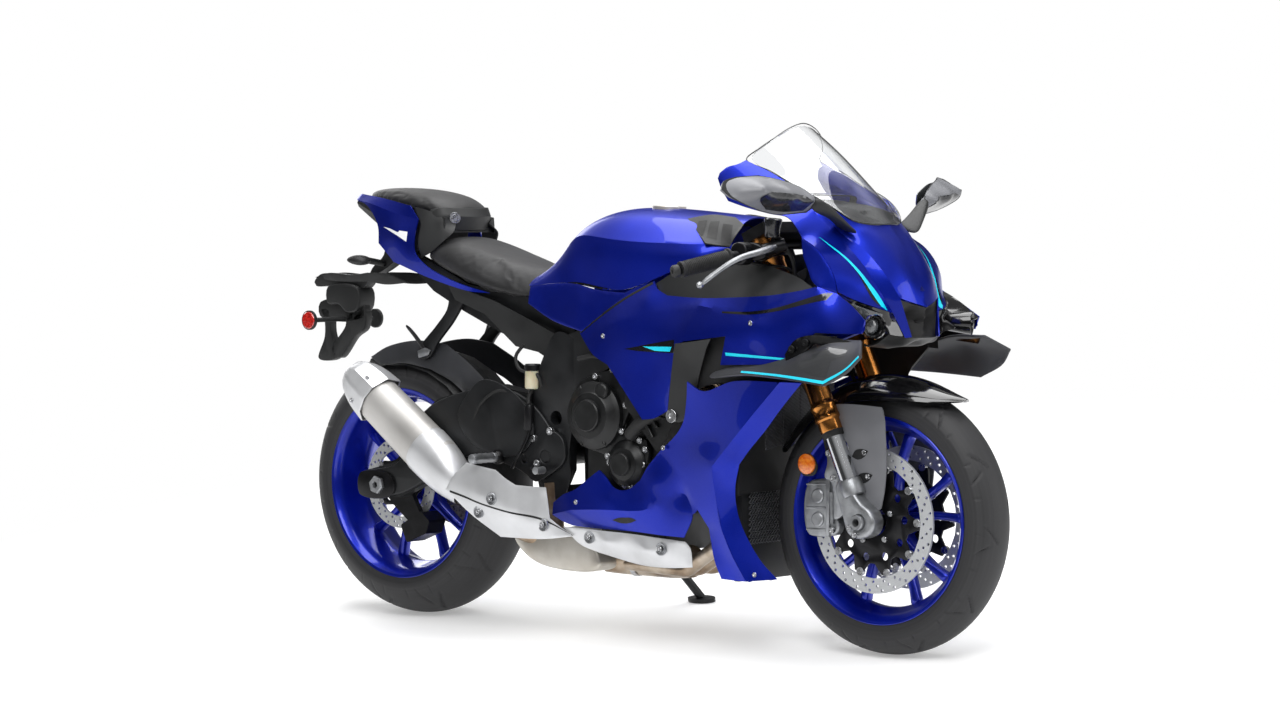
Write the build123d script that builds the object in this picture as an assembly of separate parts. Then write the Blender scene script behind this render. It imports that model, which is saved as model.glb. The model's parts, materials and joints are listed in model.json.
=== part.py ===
"""Sport motorcycle of the one-litre class, parked on its side stand.

Everything is drawn upright in the bike's own frame: x forward from the rear axle, y to the rider's left,
z up from the floor, in millimetres. At the end the whole bike leans left onto its stand and its footprint
is centred on the origin.
"""
import os
from functools import cache
from math import atan2, cos, degrees, hypot, pi, radians, sin, tan

from build123d import *

# ---------------------------------------------------------------- driving dimensions
LEAN = 9.0                   # parked lean to the left, degrees
WHEELBASE = 1405.0
RAKE = 24.0                  # steering head angle from vertical, degrees
TRAIL = 102.0
STEER_LOCK = 27.0
RUNNING = 0.05               # radial clearance of a shaft in its hole
SEAT_GAP = 0.3               # gap between a piece and what it seats on

FRONT_TYRE_R, FRONT_TYRE_W, FRONT_CROWN_R = 299.8, 120.0, 62.0
REAR_TYRE_R, REAR_TYRE_W, REAR_CROWN_R = 320.4, 190.0, 98.0
RIM_SEAT_R = 218.0           # bead seat of a 17 inch rim
RIM_FLANGE_R = 231.0
FRONT_RIM_W, REAR_RIM_W = 101.0, 164.0
RIM_WALL = 7.0
SPOKE_PAIRS = 5
TYRE_SEGMENTS = 56           # straight segments round each tyre

FRONT_AXLE_R, REAR_AXLE_R = 12.5, 14.0
FORK_SPREAD = 210.0          # between fork leg centres
FORK_OUTER_R, FORK_INNER_R = 27.0, 21.5
DISC_R, DISC_T = 160.0, 5.0
DISC_Y = 68.0                # lateral place of the front discs
REAR_DISC_R, REAR_DISC_Y = 110.0, -84.0
CHAIN_Y = 114.0              # line of the chain and both sprockets
SPROCKET_TEETH, COUNTERSHAFT_TEETH = 41, 16
CHAIN_PITCH = 15.875
CHAIN_HALF, LINK_HALF, ROLLER_R = 9.5, 7.0, 5.4   # half width, half height of a link, roller radius
PANEL = 3.0                  # wall of the moulded panels
STEM_R = 16.0
GEARBOX_HALF, CASE_HALF = 100.0, 150.0   # half widths of the crankcase, behind and ahead

# ---------------------------------------------------------------- main places, upright frame
REAR_AXLE = Vector(0, 0, REAR_TYRE_R)
FRONT_AXLE = Vector(WHEELBASE, 0, FRONT_TYRE_R)
PIVOT = Vector(537, 0, 424)              # swingarm pivot
COUNTERSHAFT = Vector(602, 0, 410)
STEER_DIR = Vector(-sin(radians(RAKE)), 0, cos(radians(RAKE)))
STEER_FOOT = Vector(WHEELBASE + TRAIL, 0, 0)      # steering axis meets the floor here
SILENCER_FRONT, SILENCER_REAR = Vector(228, -200, 396), Vector(0, -214, 566)
STAND_PIVOT = Vector(555, 132, 262)
STAND_FOOT_X, STAND_FOOT_Y = 640.0, 285.0


def steer_point(height):
    """Point of the steering axis at a height above the floor."""
    return STEER_FOOT + STEER_DIR * (height / STEER_DIR.Z)


def fork_point(height, side=0.0):
    """Point of a fork leg's centreline at a height, side -1 right, +1 left, 0 between the legs."""
    up = (height - FRONT_AXLE.Z) / STEER_DIR.Z
    return FRONT_AXLE + STEER_DIR * up + Vector(0, side * FORK_SPREAD / 2, 0)


def from_front_axle(offsets):
    """Side-view points given as offsets from the front axle."""
    return [(FRONT_AXLE.X + dx, FRONT_AXLE.Z + dz) for dx, dz in offsets]


# ---------------------------------------------------------------- shape helpers
def rod(start, end, radius):
    """Round bar between two points."""
    start, end = Vector(start), Vector(end)
    return Solid.make_cylinder(radius, (end - start).length, Plane(origin=start, z_dir=end - start))


def cone(start, end, r_start, r_end):
    start, end = Vector(start), Vector(end)
    return Solid.make_cone(r_start, r_end, (end - start).length, Plane(origin=start, z_dir=end - start))


def plate(outline, y_from, y_to):
    """Side-view outline of (x, z) points, as a plate between two y planes."""
    face = Face(Wire.make_polygon([Vector(x, y_from, z) for x, z in outline], close=True))
    return Solid.extrude(face, Vector(0, y_to - y_from, 0))


def slab(outline, x_from, x_to):
    """Front-view outline of (y, z) points, as a slab between two x planes."""
    face = Face(Wire.make_polygon([Vector(x_from, y, z) for y, z in outline], close=True))
    return Solid.extrude(face, Vector(x_to - x_from, 0, 0))


def soft_plate(outline, radius, y_from, y_to):
    """Side-view plate with every corner of its outline rounded."""
    face = Plane.XZ * make_face(FilletPolyline(*outline, radius=radius, close=True))
    face = face.moved(Location((0, y_from, 0)))
    return Solid.extrude(face.face(), Vector(0, y_to - y_from, 0))


def tube(points, radius, bend):
    """Round tube along straight runs joined by tangent arcs."""
    path = FilletPolyline(*[Vector(p) for p in points], radius=bend)
    section = Plane(origin=path @ 0, z_dir=path % 0) * Circle(radius)
    return sweep(section, path=path).solid()


def ring(r_out, r_in, y_from, y_to, centre):
    """Flat ring about a lateral axis."""
    outer = rod(centre + Vector(0, y_from, 0), centre + Vector(0, y_to, 0), r_out)
    return outer - rod(centre + Vector(0, y_from - 1, 0), centre + Vector(0, y_to + 1, 0), r_in)


def segmented(profile, centre, segments):
    """Ring of straight segments about a lateral axis from (radius, y) points, one facet per segment and side."""
    sections = []
    for k in range(segments):
        a = 2 * pi * k / segments - pi / 2
        sections.append([Vector(r * cos(a), y, r * sin(a)) for r, y in profile])
    faces = []
    for here, after in zip(sections, sections[1:] + sections[:1]):
        for i in range(len(profile)):
            j = (i + 1) % len(profile)
            faces.append(Face(Wire.make_polygon([here[i], here[j], after[j], after[i]], close=True)))
    return Solid(Shell(faces)).moved(Location(centre))


def turned(profile, centre):
    """Solid turned about a lateral axis from (radius, y) points."""
    face = Face(Wire.make_polygon([Vector(r, y, 0) for r, y in profile], close=True))
    return revolve(face, Axis.Y).moved(Location(centre))


def both_sides(solid):
    """A left-hand piece and its right-hand mirror image."""
    return [solid, solid.mirror(Plane.XZ)]


def inset(points, wall):
    """Points of an open (a, b) polyline moved to its right-hand side by the wall, with mitred corners."""
    moved = []
    for i, (a, b) in enumerate(points):
        before = points[max(i - 1, 0)], points[max(i, 1)]
        after = points[min(i, len(points) - 2)], points[min(i + 1, len(points) - 1)]
        normals = []
        for (a0, b0), (a1, b1) in (before, after):
            length = hypot(a1 - a0, b1 - b0)
            normals.append(((b1 - b0) / length, -(a1 - a0) / length))
        na, nb = normals[0][0] + normals[1][0], normals[0][1] + normals[1][1]
        scale = wall * 2 / (na * na + nb * nb)
        moved.append((a + na * scale, b + nb * scale))
    return moved


def skin(stations, to_point, wall=PANEL, ruled=False):
    """Thin shell lofted through stations. A station is (place, [(a, b), ...]), its line seen from outside
    with the inside on the right-hand side; to_point(place, a, b) gives the point in space."""
    wires = []
    for place, line in stations:
        loop = list(line) + inset(line, wall)[::-1]
        wires.append(Wire.make_polygon([to_point(place, a, b) for a, b in loop], close=True))
    return Solid.make_loft(wires, ruled)


def body(stations, to_point, ruled=False):
    """Solid lofted through closed stations of (place, [(a, b), ...])."""
    return Solid.make_loft(
        [Wire.make_polygon([to_point(place, a, b) for a, b in loop], close=True) for place, loop in stations], ruled
    )


def across(x, y, z):
    """Station plane at one x."""
    return Vector(x, y, z)


def mirrored(half):
    """Closed (y, z) loop from its left half, listed from the top centre to the bottom centre."""
    return [(y, z) for y, z in half] + [(-y, z) for y, z in reversed(half) if y > 0]


def cut(solid, *tools):
    """One solid less the others, keeping its largest piece."""
    for tool in tools:
        for piece in tool if isinstance(tool, (list, tuple)) else [tool]:
            solid = solid - piece
    solids = solid.solids()
    return max(solids, key=lambda s: s.volume)


def joined(*solids):
    """Solids that touch, as one."""
    whole = solids[0]
    for s in solids[1:]:
        whole = whole + s
    return whole.solid() if len(whole.solids()) == 1 else whole


# ---------------------------------------------------------------- wheels
def tyre(centre, radius, width, crown_r, rim_width):
    """Carcass with a round crown and open bead, ringed from half a profile."""
    half, rim_half = width / 2, rim_width / 2
    edge = asin_deg(half * 0.97, crown_r)
    crown = [(radius - crown_r + crown_r * cos(radians(a)), crown_r * sin(radians(a)))
             for a in (0, LEAN, 24, 45, edge)]
    shoulder = crown[-1][0]
    wall_low = RIM_FLANGE_R + 3
    facet = 1 / cos(pi / TYRE_SEGMENTS)      # keeps the middle of each bead facet clear of the round rim
    seat = (RIM_SEAT_R + SEAT_GAP) * facet
    outside = crown + [((shoulder + wall_low) / 2, half), (wall_low, rim_half - 2),
                       (RIM_FLANGE_R * facet, rim_half - 5 - SEAT_GAP), (seat, rim_half - 9 - SEAT_GAP)]
    inside = [(seat, rim_half - 20), ((shoulder + wall_low) / 2, half - 12), (radius - 14, half * 0.4)]
    right = outside + inside
    loop = right + [(r, -y) for r, y in reversed(right) if y > 0]
    return segmented(loop, centre, TYRE_SEGMENTS)


def asin_deg(opposite, hypotenuse):
    return degrees(atan2(opposite, (max(hypotenuse ** 2 - opposite ** 2, 0)) ** 0.5))


def rim(centre, width, bore, hub_half, hub_r, spoke_depth):
    """Cast wheel: barrel with drop centre, hub, and spokes in pairs."""
    half = width / 2
    outside = [(RIM_FLANGE_R, half), (RIM_FLANGE_R, half - 5), (RIM_SEAT_R, half - 9),
               (RIM_SEAT_R - 2, half * 0.55), (RIM_SEAT_R - 20, half * 0.3)]
    inside = [(RIM_SEAT_R - 20 - RIM_WALL, half * 0.25), (RIM_SEAT_R - RIM_WALL - 4, half * 0.55),
              (RIM_SEAT_R - RIM_WALL - 2, half - 2), (RIM_SEAT_R, half)]
    upper = outside + [(r, -y) for r, y in reversed(outside)]
    lower = [(r, -y) for r, y in inside[::-1]] + inside
    barrel = turned(upper + lower, Vector(0, 0, 0))
    hub = rod((0, -hub_half, 0), (0, hub_half, 0), hub_r)
    wheel = joined(barrel, hub)
    reach = RIM_SEAT_R - 20 - RIM_WALL / 2
    for pair in range(SPOKE_PAIRS):
        middle = 90 + pair * 360 / SPOKE_PAIRS
        for side in (-1, 1):
            root, tip = radians(middle + side * 8), radians(middle + side * 14)
            foot = Vector(cos(root), 0, sin(root)) * (hub_r - 8)
            head = Vector(cos(tip), 0, sin(tip)) * reach
            along = (head - foot).normalized()
            across_spoke = Vector(-along.Z, 0, along.X)
            corners = [foot - across_spoke * 11, foot + across_spoke * 11, head + across_spoke * 8, head - across_spoke * 8]
            face = Face(Wire.make_polygon([c - Vector(0, spoke_depth / 2, 0) for c in corners], close=True))
            wheel = wheel + Solid.extrude(face, Vector(0, spoke_depth, 0))
    wheel = wheel - rod((0, -hub_half - 1, 0), (0, hub_half + 1, 0), bore)
    return wheel.solid().moved(Location(centre))


def front_discs():
    """Floating brake discs on spidered carriers, one each side."""
    made = []
    for side in (-1, 1):
        y0, y1 = sorted((side * (DISC_Y - DISC_T / 2), side * (DISC_Y + DISC_T / 2)))
        blade = ring(DISC_R, 124, y0, y1, FRONT_AXLE)
        seat = side * (58 + SEAT_GAP)
        c0, c1 = sorted((seat, side * (DISC_Y + DISC_T / 2 - 1)))
        carrier = ring(46, FRONT_AXLE_R + 12, c0, c1, FRONT_AXLE)
        for k in range(SPOKE_PAIRS):
            for turn in (-11, 11):
                a = radians(90 + 36 + k * 360 / SPOKE_PAIRS + turn)
                foot = FRONT_AXLE + Vector(38 * cos(a), 0, 38 * sin(a))
                head = FRONT_AXLE + Vector(129 * cos(a), 0, 129 * sin(a))
                step = (head - foot).normalized()
                wide = Vector(-step.Z, 0, step.X) * 6
                arm = Face(Wire.make_polygon([foot - wide + Vector(0, y0, 0), foot + wide + Vector(0, y0, 0),
                                              head + wide + Vector(0, y0, 0), head - wide + Vector(0, y0, 0)],
                                             close=True))
                carrier = carrier + Solid.extrude(arm, Vector(0, DISC_T, 0))
        made.append((blade + carrier).solid())
    return made


def rear_disc():
    y0, y1 = REAR_DISC_Y - DISC_T / 2, REAR_DISC_Y + DISC_T / 2
    blade = ring(REAR_DISC_R, 70, y0, y1, REAR_AXLE)
    carrier = ring(48, REAR_AXLE_R + 12, y0, -72 - SEAT_GAP, REAR_AXLE)
    for k in range(SPOKE_PAIRS):
        a = radians(90 + k * 360 / SPOKE_PAIRS)
        foot = REAR_AXLE + Vector(42 * cos(a), y0, 42 * sin(a))
        head = REAR_AXLE + Vector(76 * cos(a), y0, 76 * sin(a))
        step = (head - foot).normalized()
        wide = Vector(-step.Z, 0, step.X) * 9
        arm = Face(Wire.make_polygon([foot - wide, foot + wide, head + wide, head - wide], close=True))
        carrier = carrier + Solid.extrude(arm, Vector(0, DISC_T, 0))
    return (blade + carrier).solid()


def pitch_radius(teeth):
    return CHAIN_PITCH / (2 * sin(pi / teeth))


def sprocket(centre, teeth, y_mid, thickness, bore):
    """Toothed wheel; each tooth is a short trapezoid between two roller seats."""
    root, tip = pitch_radius(teeth) - 5.6, pitch_radius(teeth) + 4.2
    points = []
    for k in range(teeth):
        for offset, radius in ((-0.27, root), (-0.10, tip), (0.10, tip), (0.27, root)):
            a = 2 * pi * (k + offset) / teeth
            points.append((centre.X + radius * cos(a), centre.Z + radius * sin(a)))
    blank = plate(points, y_mid - thickness / 2, y_mid + thickness / 2)
    return cut(blank, rod((centre.X, y_mid - 20, centre.Z), (centre.X, y_mid + 20, centre.Z), bore))


def chain_path():
    """Pitch-line points of the closed loop: centres of the two wraps and the outside tangent angles."""
    r_rear, r_front = pitch_radius(SPROCKET_TEETH), pitch_radius(COUNTERSHAFT_TEETH)
    dx, dz = COUNTERSHAFT.X - REAR_AXLE.X, COUNTERSHAFT.Z - REAR_AXLE.Z
    slope = atan2(dz, dx)
    wrap = atan2(r_rear - r_front, (hypot(dx, dz) ** 2 - (r_rear - r_front) ** 2) ** 0.5)
    return r_rear, r_front, slope + pi / 2 - wrap, slope - pi / 2 + wrap


def chain_band(grow, y_from, y_to):
    """Closed strip that follows the chain, its edges a link's half height each side of the pitch line."""
    r_rear, r_front, top, bottom = chain_path()

    def loop(offset):
        rear, front = r_rear + offset, r_front + offset
        points = []
        for k in range(11):
            a = top + (bottom + 2 * pi - top) * k / 10
            points.append((REAR_AXLE.X + rear * cos(a), REAR_AXLE.Z + rear * sin(a)))
        for k in range(7):
            a = bottom + (top - bottom) * k / 6
            points.append((COUNTERSHAFT.X + front * cos(a), COUNTERSHAFT.Z + front * sin(a)))
        return points

    return cut(plate(loop(grow), y_from, y_to), plate(loop(-grow), y_from - 1, y_to + 1))


def roller(at, radius, y_from, y_to):
    """Six-sided stand-in for a chain roller across the bands."""
    corners = [(at.X + radius * cos(k * pi / 3), at.Z + radius * sin(k * pi / 3)) for k in range(6)]
    return plate(corners, y_from, y_to)


def drive_chain():
    """Fixed loop of two side bands, tied by rollers along its runs and round the front sprocket, which it carries."""
    inner, outer = CHAIN_Y - CHAIN_HALF, CHAIN_Y + CHAIN_HALF
    bands = [chain_band(LINK_HALF, inner, inner + 4), chain_band(LINK_HALF, outer - 4, outer)]
    r_rear, r_front, top, bottom = chain_path()
    loop = joined(bands[0], bands[1])
    for a in (top, bottom):
        start = Vector(REAR_AXLE.X + r_rear * cos(a), 0, REAR_AXLE.Z + r_rear * sin(a))
        end = Vector(COUNTERSHAFT.X + r_front * cos(a), 0, COUNTERSHAFT.Z + r_front * sin(a))
        run = end - start
        count = int(run.length / (CHAIN_PITCH * 3))
        for k in range(1, count):
            loop = loop + roller(start + run * (k / count), ROLLER_R, inner + 2, outer - 2)
    pinion = sprocket(COUNTERSHAFT, COUNTERSHAFT_TEETH, CHAIN_Y, 6, 8)
    shaft = rod(COUNTERSHAFT + Vector(0, GEARBOX_HALF + SEAT_GAP, 0), COUNTERSHAFT + Vector(0, CHAIN_Y + 10, 0), 12)
    for k in (-3, 0, 3):
        a = 2 * pi * (k + 0.5) / COUNTERSHAFT_TEETH
        p = COUNTERSHAFT + Vector(r_front * cos(a), 0, r_front * sin(a))
        loop = loop + roller(p, ROLLER_R + 1, inner + 2, outer - 2)
    return (loop + pinion + shaft).solid()


# ---------------------------------------------------------------- steering group
HEAD_LOW, HEAD_HIGH = 715.0, 868.0       # heights of the steering head's ends on its axis
YOKE_T = 26.0
LOWER_YOKE_Z, UPPER_YOKE_Z = 690.0, 905.0
FORK_TUBE_LOW_Z, FORK_TUBE_HIGH_Z = 588.0, 935.0
FORK_FOOT_RISE = 95.2        # foot of the inner tube above the front axle


def yoke(height):
    """Clamp plate across both fork legs, square to the steering axis."""
    at = steer_point(height)
    leg = (fork_point(height) - at).length
    plane = Plane(origin=at, x_dir=(0, 1, 0), z_dir=STEER_DIR)
    ahead = -1 if plane.y_dir.X < 0 else 1
    half = FORK_SPREAD / 2
    face = plane * make_face(Polyline(
        (-half - 40, ahead * (leg - 30)), (-half - 40, ahead * (leg + 34)), (-half + 36, ahead * (leg + 36)),
        (half - 36, ahead * (leg + 36)), (half + 40, ahead * (leg + 34)), (half + 40, ahead * (leg - 30)),
        (34, -ahead * 34), (-34, -ahead * 34), close=True))
    return Solid.extrude(face.face(), STEER_DIR * YOKE_T)


@cache
def yokes():
    """Both fork clamps on one stem."""
    stem = rod(steer_point(LOWER_YOKE_Z + 5), steer_point(UPPER_YOKE_Z + 10), STEM_R)
    made = joined(yoke(LOWER_YOKE_Z), stem, yoke(UPPER_YOKE_Z))
    for side in (-1, 1):
        made = made - rod(fork_point(500, side), fork_point(1000, side), FORK_OUTER_R + RUNNING)
    bore = rod(steer_point(LOWER_YOKE_Z - 40), steer_point(LOWER_YOKE_Z + 60), STAND_BORE_R)
    return (made - bore).solid()


def fork_tubes():
    """Outer tubes with their end cap and dust-seal collar."""
    made = []
    for side in (-1, 1):
        low, high = fork_point(FORK_TUBE_LOW_Z, side), fork_point(FORK_TUBE_HIGH_Z, side)
        leg = joined(rod(low, high, FORK_OUTER_R), rod(low - STEER_DIR * 6, low + STEER_DIR * 24, FORK_OUTER_R + 4),
                     rod(high, high + STEER_DIR * 9, 15))
        made.append((leg - rod(low - STEER_DIR * 40, low + STEER_DIR * 160, FORK_INNER_R + RUNNING)).solid())
    return made


def fork_legs():
    """Inner tubes in their axle brackets, which also carry the calipers."""
    made = []
    for side in (-1, 1):
        foot = fork_point(FRONT_AXLE.Z + FORK_FOOT_RISE, side)
        tube_leg = rod(foot - STEER_DIR * 30, fork_point(FORK_TUBE_LOW_Z + 120, side), FORK_INNER_R)
        y = side * FORK_SPREAD / 2
        lug = from_front_axle([(-45, 132.2), (0, 45.2), (35, 22.2), (33, -17.8), (0, -37.8), (-33, -23.8), (-55, 30.2),
                               (-83, 72.2), (-77, 112.2)])
        bracket = soft_plate(lug, 7, y - 24, y + 24)
        inner_y = side * 84.0
        hanger = from_front_axle([(-65, 120.2), (-20, 45.2), (-55, 30.2), (-115, 52.2), (-137, 100.2), (-115, 128.2)])
        arm = soft_plate(hanger, 6, min(inner_y, side * 98), max(inner_y, side * 98))
        leg = joined(tube_leg, bracket, arm)
        made.append((leg - rod(FRONT_AXLE + Vector(0, -200, 0), FRONT_AXLE + Vector(0, 200, 0),
                               FRONT_AXLE_R + RUNNING)).solid())
    return made


def front_axle():
    """Hollow spindle with its nut, and the wheel spacers."""
    half = FORK_SPREAD / 2 + 30
    made = joined(rod(FRONT_AXLE + Vector(0, -half, 0), FRONT_AXLE + Vector(0, half, 0), FRONT_AXLE_R),
                  rod(FRONT_AXLE + Vector(0, half - 5.7, 0), FRONT_AXLE + Vector(0, half + 6, 0), 20),
                  ring(FRONT_AXLE_R + 6, FRONT_AXLE_R - 2, 73, FORK_SPREAD / 2 - 24 - SEAT_GAP, FRONT_AXLE),
                  ring(FRONT_AXLE_R + 6, FRONT_AXLE_R - 2, -FORK_SPREAD / 2 + 24 + SEAT_GAP, -73, FRONT_AXLE))
    return (made - rod(FRONT_AXLE + Vector(0, -200, 0), FRONT_AXLE + Vector(0, 200, 0), AXLE_BORE_R)).solid()


@cache
def front_calipers():
    """Radial calipers astride the discs, bolted to the axle brackets."""
    made = []
    outline = from_front_axle([(-104, 156.2), (-71, 140.2), (-109, 50.2), (-135, 52.2), (-162, 78.2), (-137, 138.2)])
    for side in (-1, 1):
        y0, y1 = sorted((side * 46, side * (84 - SEAT_GAP)))
        block = soft_plate(outline, 6, y0, y1)
        s0, s1 = sorted((side * (DISC_Y - DISC_T / 2 - 5), side * (DISC_Y + DISC_T / 2 + 5)))
        slot = ring(DISC_R + 5, 60, s0, s1, FRONT_AXLE)
        made.append(cut(block, slot))
    return made


def handlebars():
    """Clip-on bars with their clamps, grips and bar ends."""
    made = []
    for side in (-1, 1):
        root, end = Vector(BAR_ROOT[0], side * BAR_ROOT[1], BAR_ROOT[2]), Vector(BAR_END[0], side * BAR_END[1], BAR_END[2])
        along = (end - root).normalized()
        clamp = rod(fork_point(CLAMP_Z, side), fork_point(CLAMP_Z, side) - STEER_DIR * 30, FORK_OUTER_R + 11)
        whole = joined(clamp, rod(fork_point(CLAMP_Z - 13, side), root, 15), rod(root - along * 12, end, 11),
                       rod(end - along * 128, end - along * 4, 17), rod(end - along * 140, end - along * 128, 21),
                       rod(end, end + along * 16, 13))
        whole = whole - rod(fork_point(500, side), fork_point(1000, side), FORK_OUTER_R + RUNNING)
        made.append(whole.solid())
    return made


BAR_ROOT, BAR_END = (1166, 122, 902), (1066, 330, 850)
CLAMP_Z = 896.0


def hand_controls():
    """Lever perch, lever, switch housing and the fluid reservoir of the brake side."""
    made = []
    for side in (-1, 1):
        root, end = Vector(BAR_ROOT[0], side * BAR_ROOT[1], BAR_ROOT[2]), Vector(BAR_END[0], side * BAR_END[1], BAR_END[2])
        along = (end - root).normalized()
        ahead = Vector(0.9, side * 0.35, -0.22).normalized()
        hold = root + along * 50
        perch = joined(rod(hold - along * 13, hold + along * 13, 19), rod(hold, hold + ahead * 48, 11))
        pivot = hold + ahead * 46
        lever_mid, lever_tip = pivot + along * 70 + ahead * 14, end + ahead * 58 - along * 6
        lever = joined(rod(pivot - along * 12, lever_mid, 7), rod(lever_mid, lever_tip, 6), rod(lever_tip, lever_tip + along * 4, 9))
        unit = joined(perch, lever)
        switch = root + along * 74
        housing = rod(switch - along * 16, switch + along * 16, 22)
        unit = joined(unit, housing, rod(hold, switch, 13))
        if side < 0:
            pot = hold + ahead * 24 + Vector(0, 0, 8)
            unit = joined(unit, rod(pot, pot + Vector(0, 0, 34), 15))
        made.append((unit - rod(root - along * 60, end + along * 60, 11 + RUNNING)).solid())
    return made


GUARD_FIXING_RISE = 170.2    # guard's fork fixing above the front axle


def front_mudguard():
    """Hugging guard over the wheel with side panels bolted to the fork."""
    made = []
    gap, wall = 12.0, 3.0
    inner_r = FRONT_TYRE_R + gap
    start, stop = radians(150), radians(63)
    outer, inner = [], []
    for k in range(9):
        a = start + (stop - start) * k / 8
        outer.append((FRONT_AXLE.X + (inner_r + wall) * cos(a), FRONT_AXLE.Z + (inner_r + wall) * sin(a)))
        inner.append((FRONT_AXLE.X + inner_r * cos(a), FRONT_AXLE.Z + inner_r * sin(a)))
    crown = plate(outer + inner[::-1], -46, 46)
    cheeks = []
    low_r = FRONT_TYRE_R - 52
    for side in (-1, 1):
        loops = []
        for radius, y in ((inner_r, 42), (low_r, 75)):
            loops.append([(FRONT_AXLE.X + radius * cos(start + (stop - start) * k / 8),
                           y * side, FRONT_AXLE.Z + radius * sin(start + (stop - start) * k / 8)) for k in range(9)])
        loop_out = [(FRONT_AXLE.X + (r + wall) * cos(start + (stop - start) * k / 8), (y + wall) * side,
                     FRONT_AXLE.Z + (r + wall) * sin(start + (stop - start) * k / 8))
                    for r, y in ((inner_r, 42), (low_r, 75)) for k in range(9)]
        sections = []
        for k in range(9):
            sections.append(Wire.make_polygon([Vector(*loops[0][k]), Vector(*loops[1][k]), Vector(*loop_out[9 + k]),
                                               Vector(*loop_out[k])], close=True))
        cheeks.append(Solid.make_loft(sections, True))
        cheek = from_front_axle([(-105, 245.2), (-53, 260.2), (47, 200.2), (35, 72.2), (-5, 45.2), (-55, 130.2), (-97, 200.2)])
        ear = soft_plate(cheek, 8, min(side * 76, side * 80), max(side * 76, side * 80))
        hold = FRONT_AXLE.Z + GUARD_FIXING_RISE
        seat = rod(fork_point(hold, side), Vector(fork_point(hold).X + 4, side * 80, hold), 9)
        seat = seat - rod(fork_point(hold - 170, side), fork_point(hold + 90, side), FORK_INNER_R + SEAT_GAP)
        cheeks.append(ear)
        cheeks.append(max(seat.solids(), key=lambda s: s.volume))
    for c in cheeks:
        crown = crown + c
    return crown.solid() if len(crown.solids()) == 1 else crown


HOSE_R = 4.0
HOSE_ROUTE = [(1306, 62, 448), (1290, 76, 494), (1264, 94, 545), (1222, 96, 606), (1204, 92, 655), (1196, 80, 700)]


def bend_radii(points):
    """Largest arcs that a route's runs leave room for, one for each corner."""
    radii = []
    for before, at, after in zip(points, points[1:], points[2:]):
        into, out = at - before, after - at
        run = min(into.length, out.length)
        radii.append(0.45 * run / tan(radians(into.get_angle(out)) / 2))
    return radii


def brake_hoses():
    """Hose from each caliper up its fork leg to the lower yoke."""
    made = []
    for side in (-1, 1):
        points = [Vector(x, side * y, z) for x, y, z in HOSE_ROUTE]
        made.append(cut(tube(points, HOSE_R, bend_radii(points)), front_calipers(), yokes()))
    return made


# ---------------------------------------------------------------- engine and exhaust
def cylinder_bank():
    return soft_plate([(788, 540), (800, 612), (880, 640), (985, 654), (995, 620), (890, 430)], 10, -185, 185)


@cache
def engine_block():
    """Crankcase, sloping cylinders and sump of the four-cylinder engine, closed inside."""
    gearbox = soft_plate([(596, 520), (660, 556), (670, 290), (640, 285), (600, 340)], 10, -GEARBOX_HALF, GEARBOX_HALF)
    case = joined(gearbox, soft_plate([(652, 560), (700, 586), (770, 598), (880, 520), (905, 400), (880, 300), (800, 280),
                                       (652, 285)], 12, -CASE_HALF, CASE_HALF))
    bank = cylinder_bank()
    sump = soft_plate([(640, 295), (850, 295), (835, 200), (700, 182), (650, 215)], 10, -95, 95)
    return joined(case, bank, sump)


def engine_covers():
    """Round covers bolted to both flanks of the crankcase."""
    made = []
    table = [  # side, x, z, radius, thickness
        (-1, 691, 504, 80, 56), (-1, 790, 405, 58, 44), (1, 800, 405, 68, 36),
    ]
    for side, x, z, radius, thick in table:
        y0, y1 = side * (150 + SEAT_GAP), side * (150 + thick)
        disc = joined(rod((x, y0, z), (x, side * (150 + thick - 12), z), radius),
                      cone((x, side * (150 + thick - 12.01), z), (x, y1, z), radius - 6, radius - 16))
        made.append(disc)
    made.append(soft_plate([(602, 350), (602, 450), (640, 470), (690, 460), (710, 400), (690, 350)], 10, 150 + SEAT_GAP, 160))
    return made


def radiator():
    """Water radiator with end tanks, and the oil cooler below it."""
    core = slab([(-150, 350), (150, 350), (150, 600), (-150, 600)], 1070, 1098)
    for side in (-1, 1):
        y0, y1 = sorted((side * 149, side * 162))
        core = core + slab([(y0, 345), (y1, 345), (y1, 605), (y0, 605)], 1066, 1102)
        core = core + slab([(side * 52, 310), (side * 66, 310), (side * 66, 352), (side * 52, 352)], 1070, 1082)
        stay = rod((1086, side * 80, 600), (1086, side * 80, 760), 6)
        core = core + cut(stay, main_frame())
    cooler = slab([(-90, 215), (90, 215), (90, 315), (-90, 315)], 1058, 1084)
    return (core + cooler).solid()


def exhaust_headers():
    """Four pipes that drop from the head, sweep under the engine and join in a collector."""
    whole = None
    collector = body([(690, [(-48, 150), (62, 150), (62, 176), (-48, 176)]), (628 + SEAT_GAP, [(-25, 142), (35, 142), (35, 178), (-25, 178)])],
                     across, ruled=True)
    for k, (port, low) in enumerate(((-128, -36), (-48, -9), (48, 21), (128, 49))):
        points = [(930, port, 614), (1034, port, 566), (1026, port * 0.85, 240), (880, low + (port * 0.8 - low) * 0.5, 160),
                  (660, low, 163)]
        pipe = tube(points, 17, 45)
        whole = pipe if whole is None else whole + pipe
    return (whole + collector - cylinder_bank()).solid()


@cache
def exhaust_box():
    """Silencing chamber under the engine's back, with the link pipe to the silencer."""
    box = soft_plate([(404, 175), (420, 218), (470, 236), (600, 236), (628, 205), (628, 150), (470, 142)], 10, -118, 60)
    link = tube([(450, -110, 200), (380, -160, 225), (318, -190, 290), (262, -198, 362)], 24, 40)
    hangers = [cut(rod((572, y, 230), (577, y, 335), 7), main_frame()) for y in (-60, 30)]
    return joined(box, cut(link, silencer_can()), *hangers)


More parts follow.
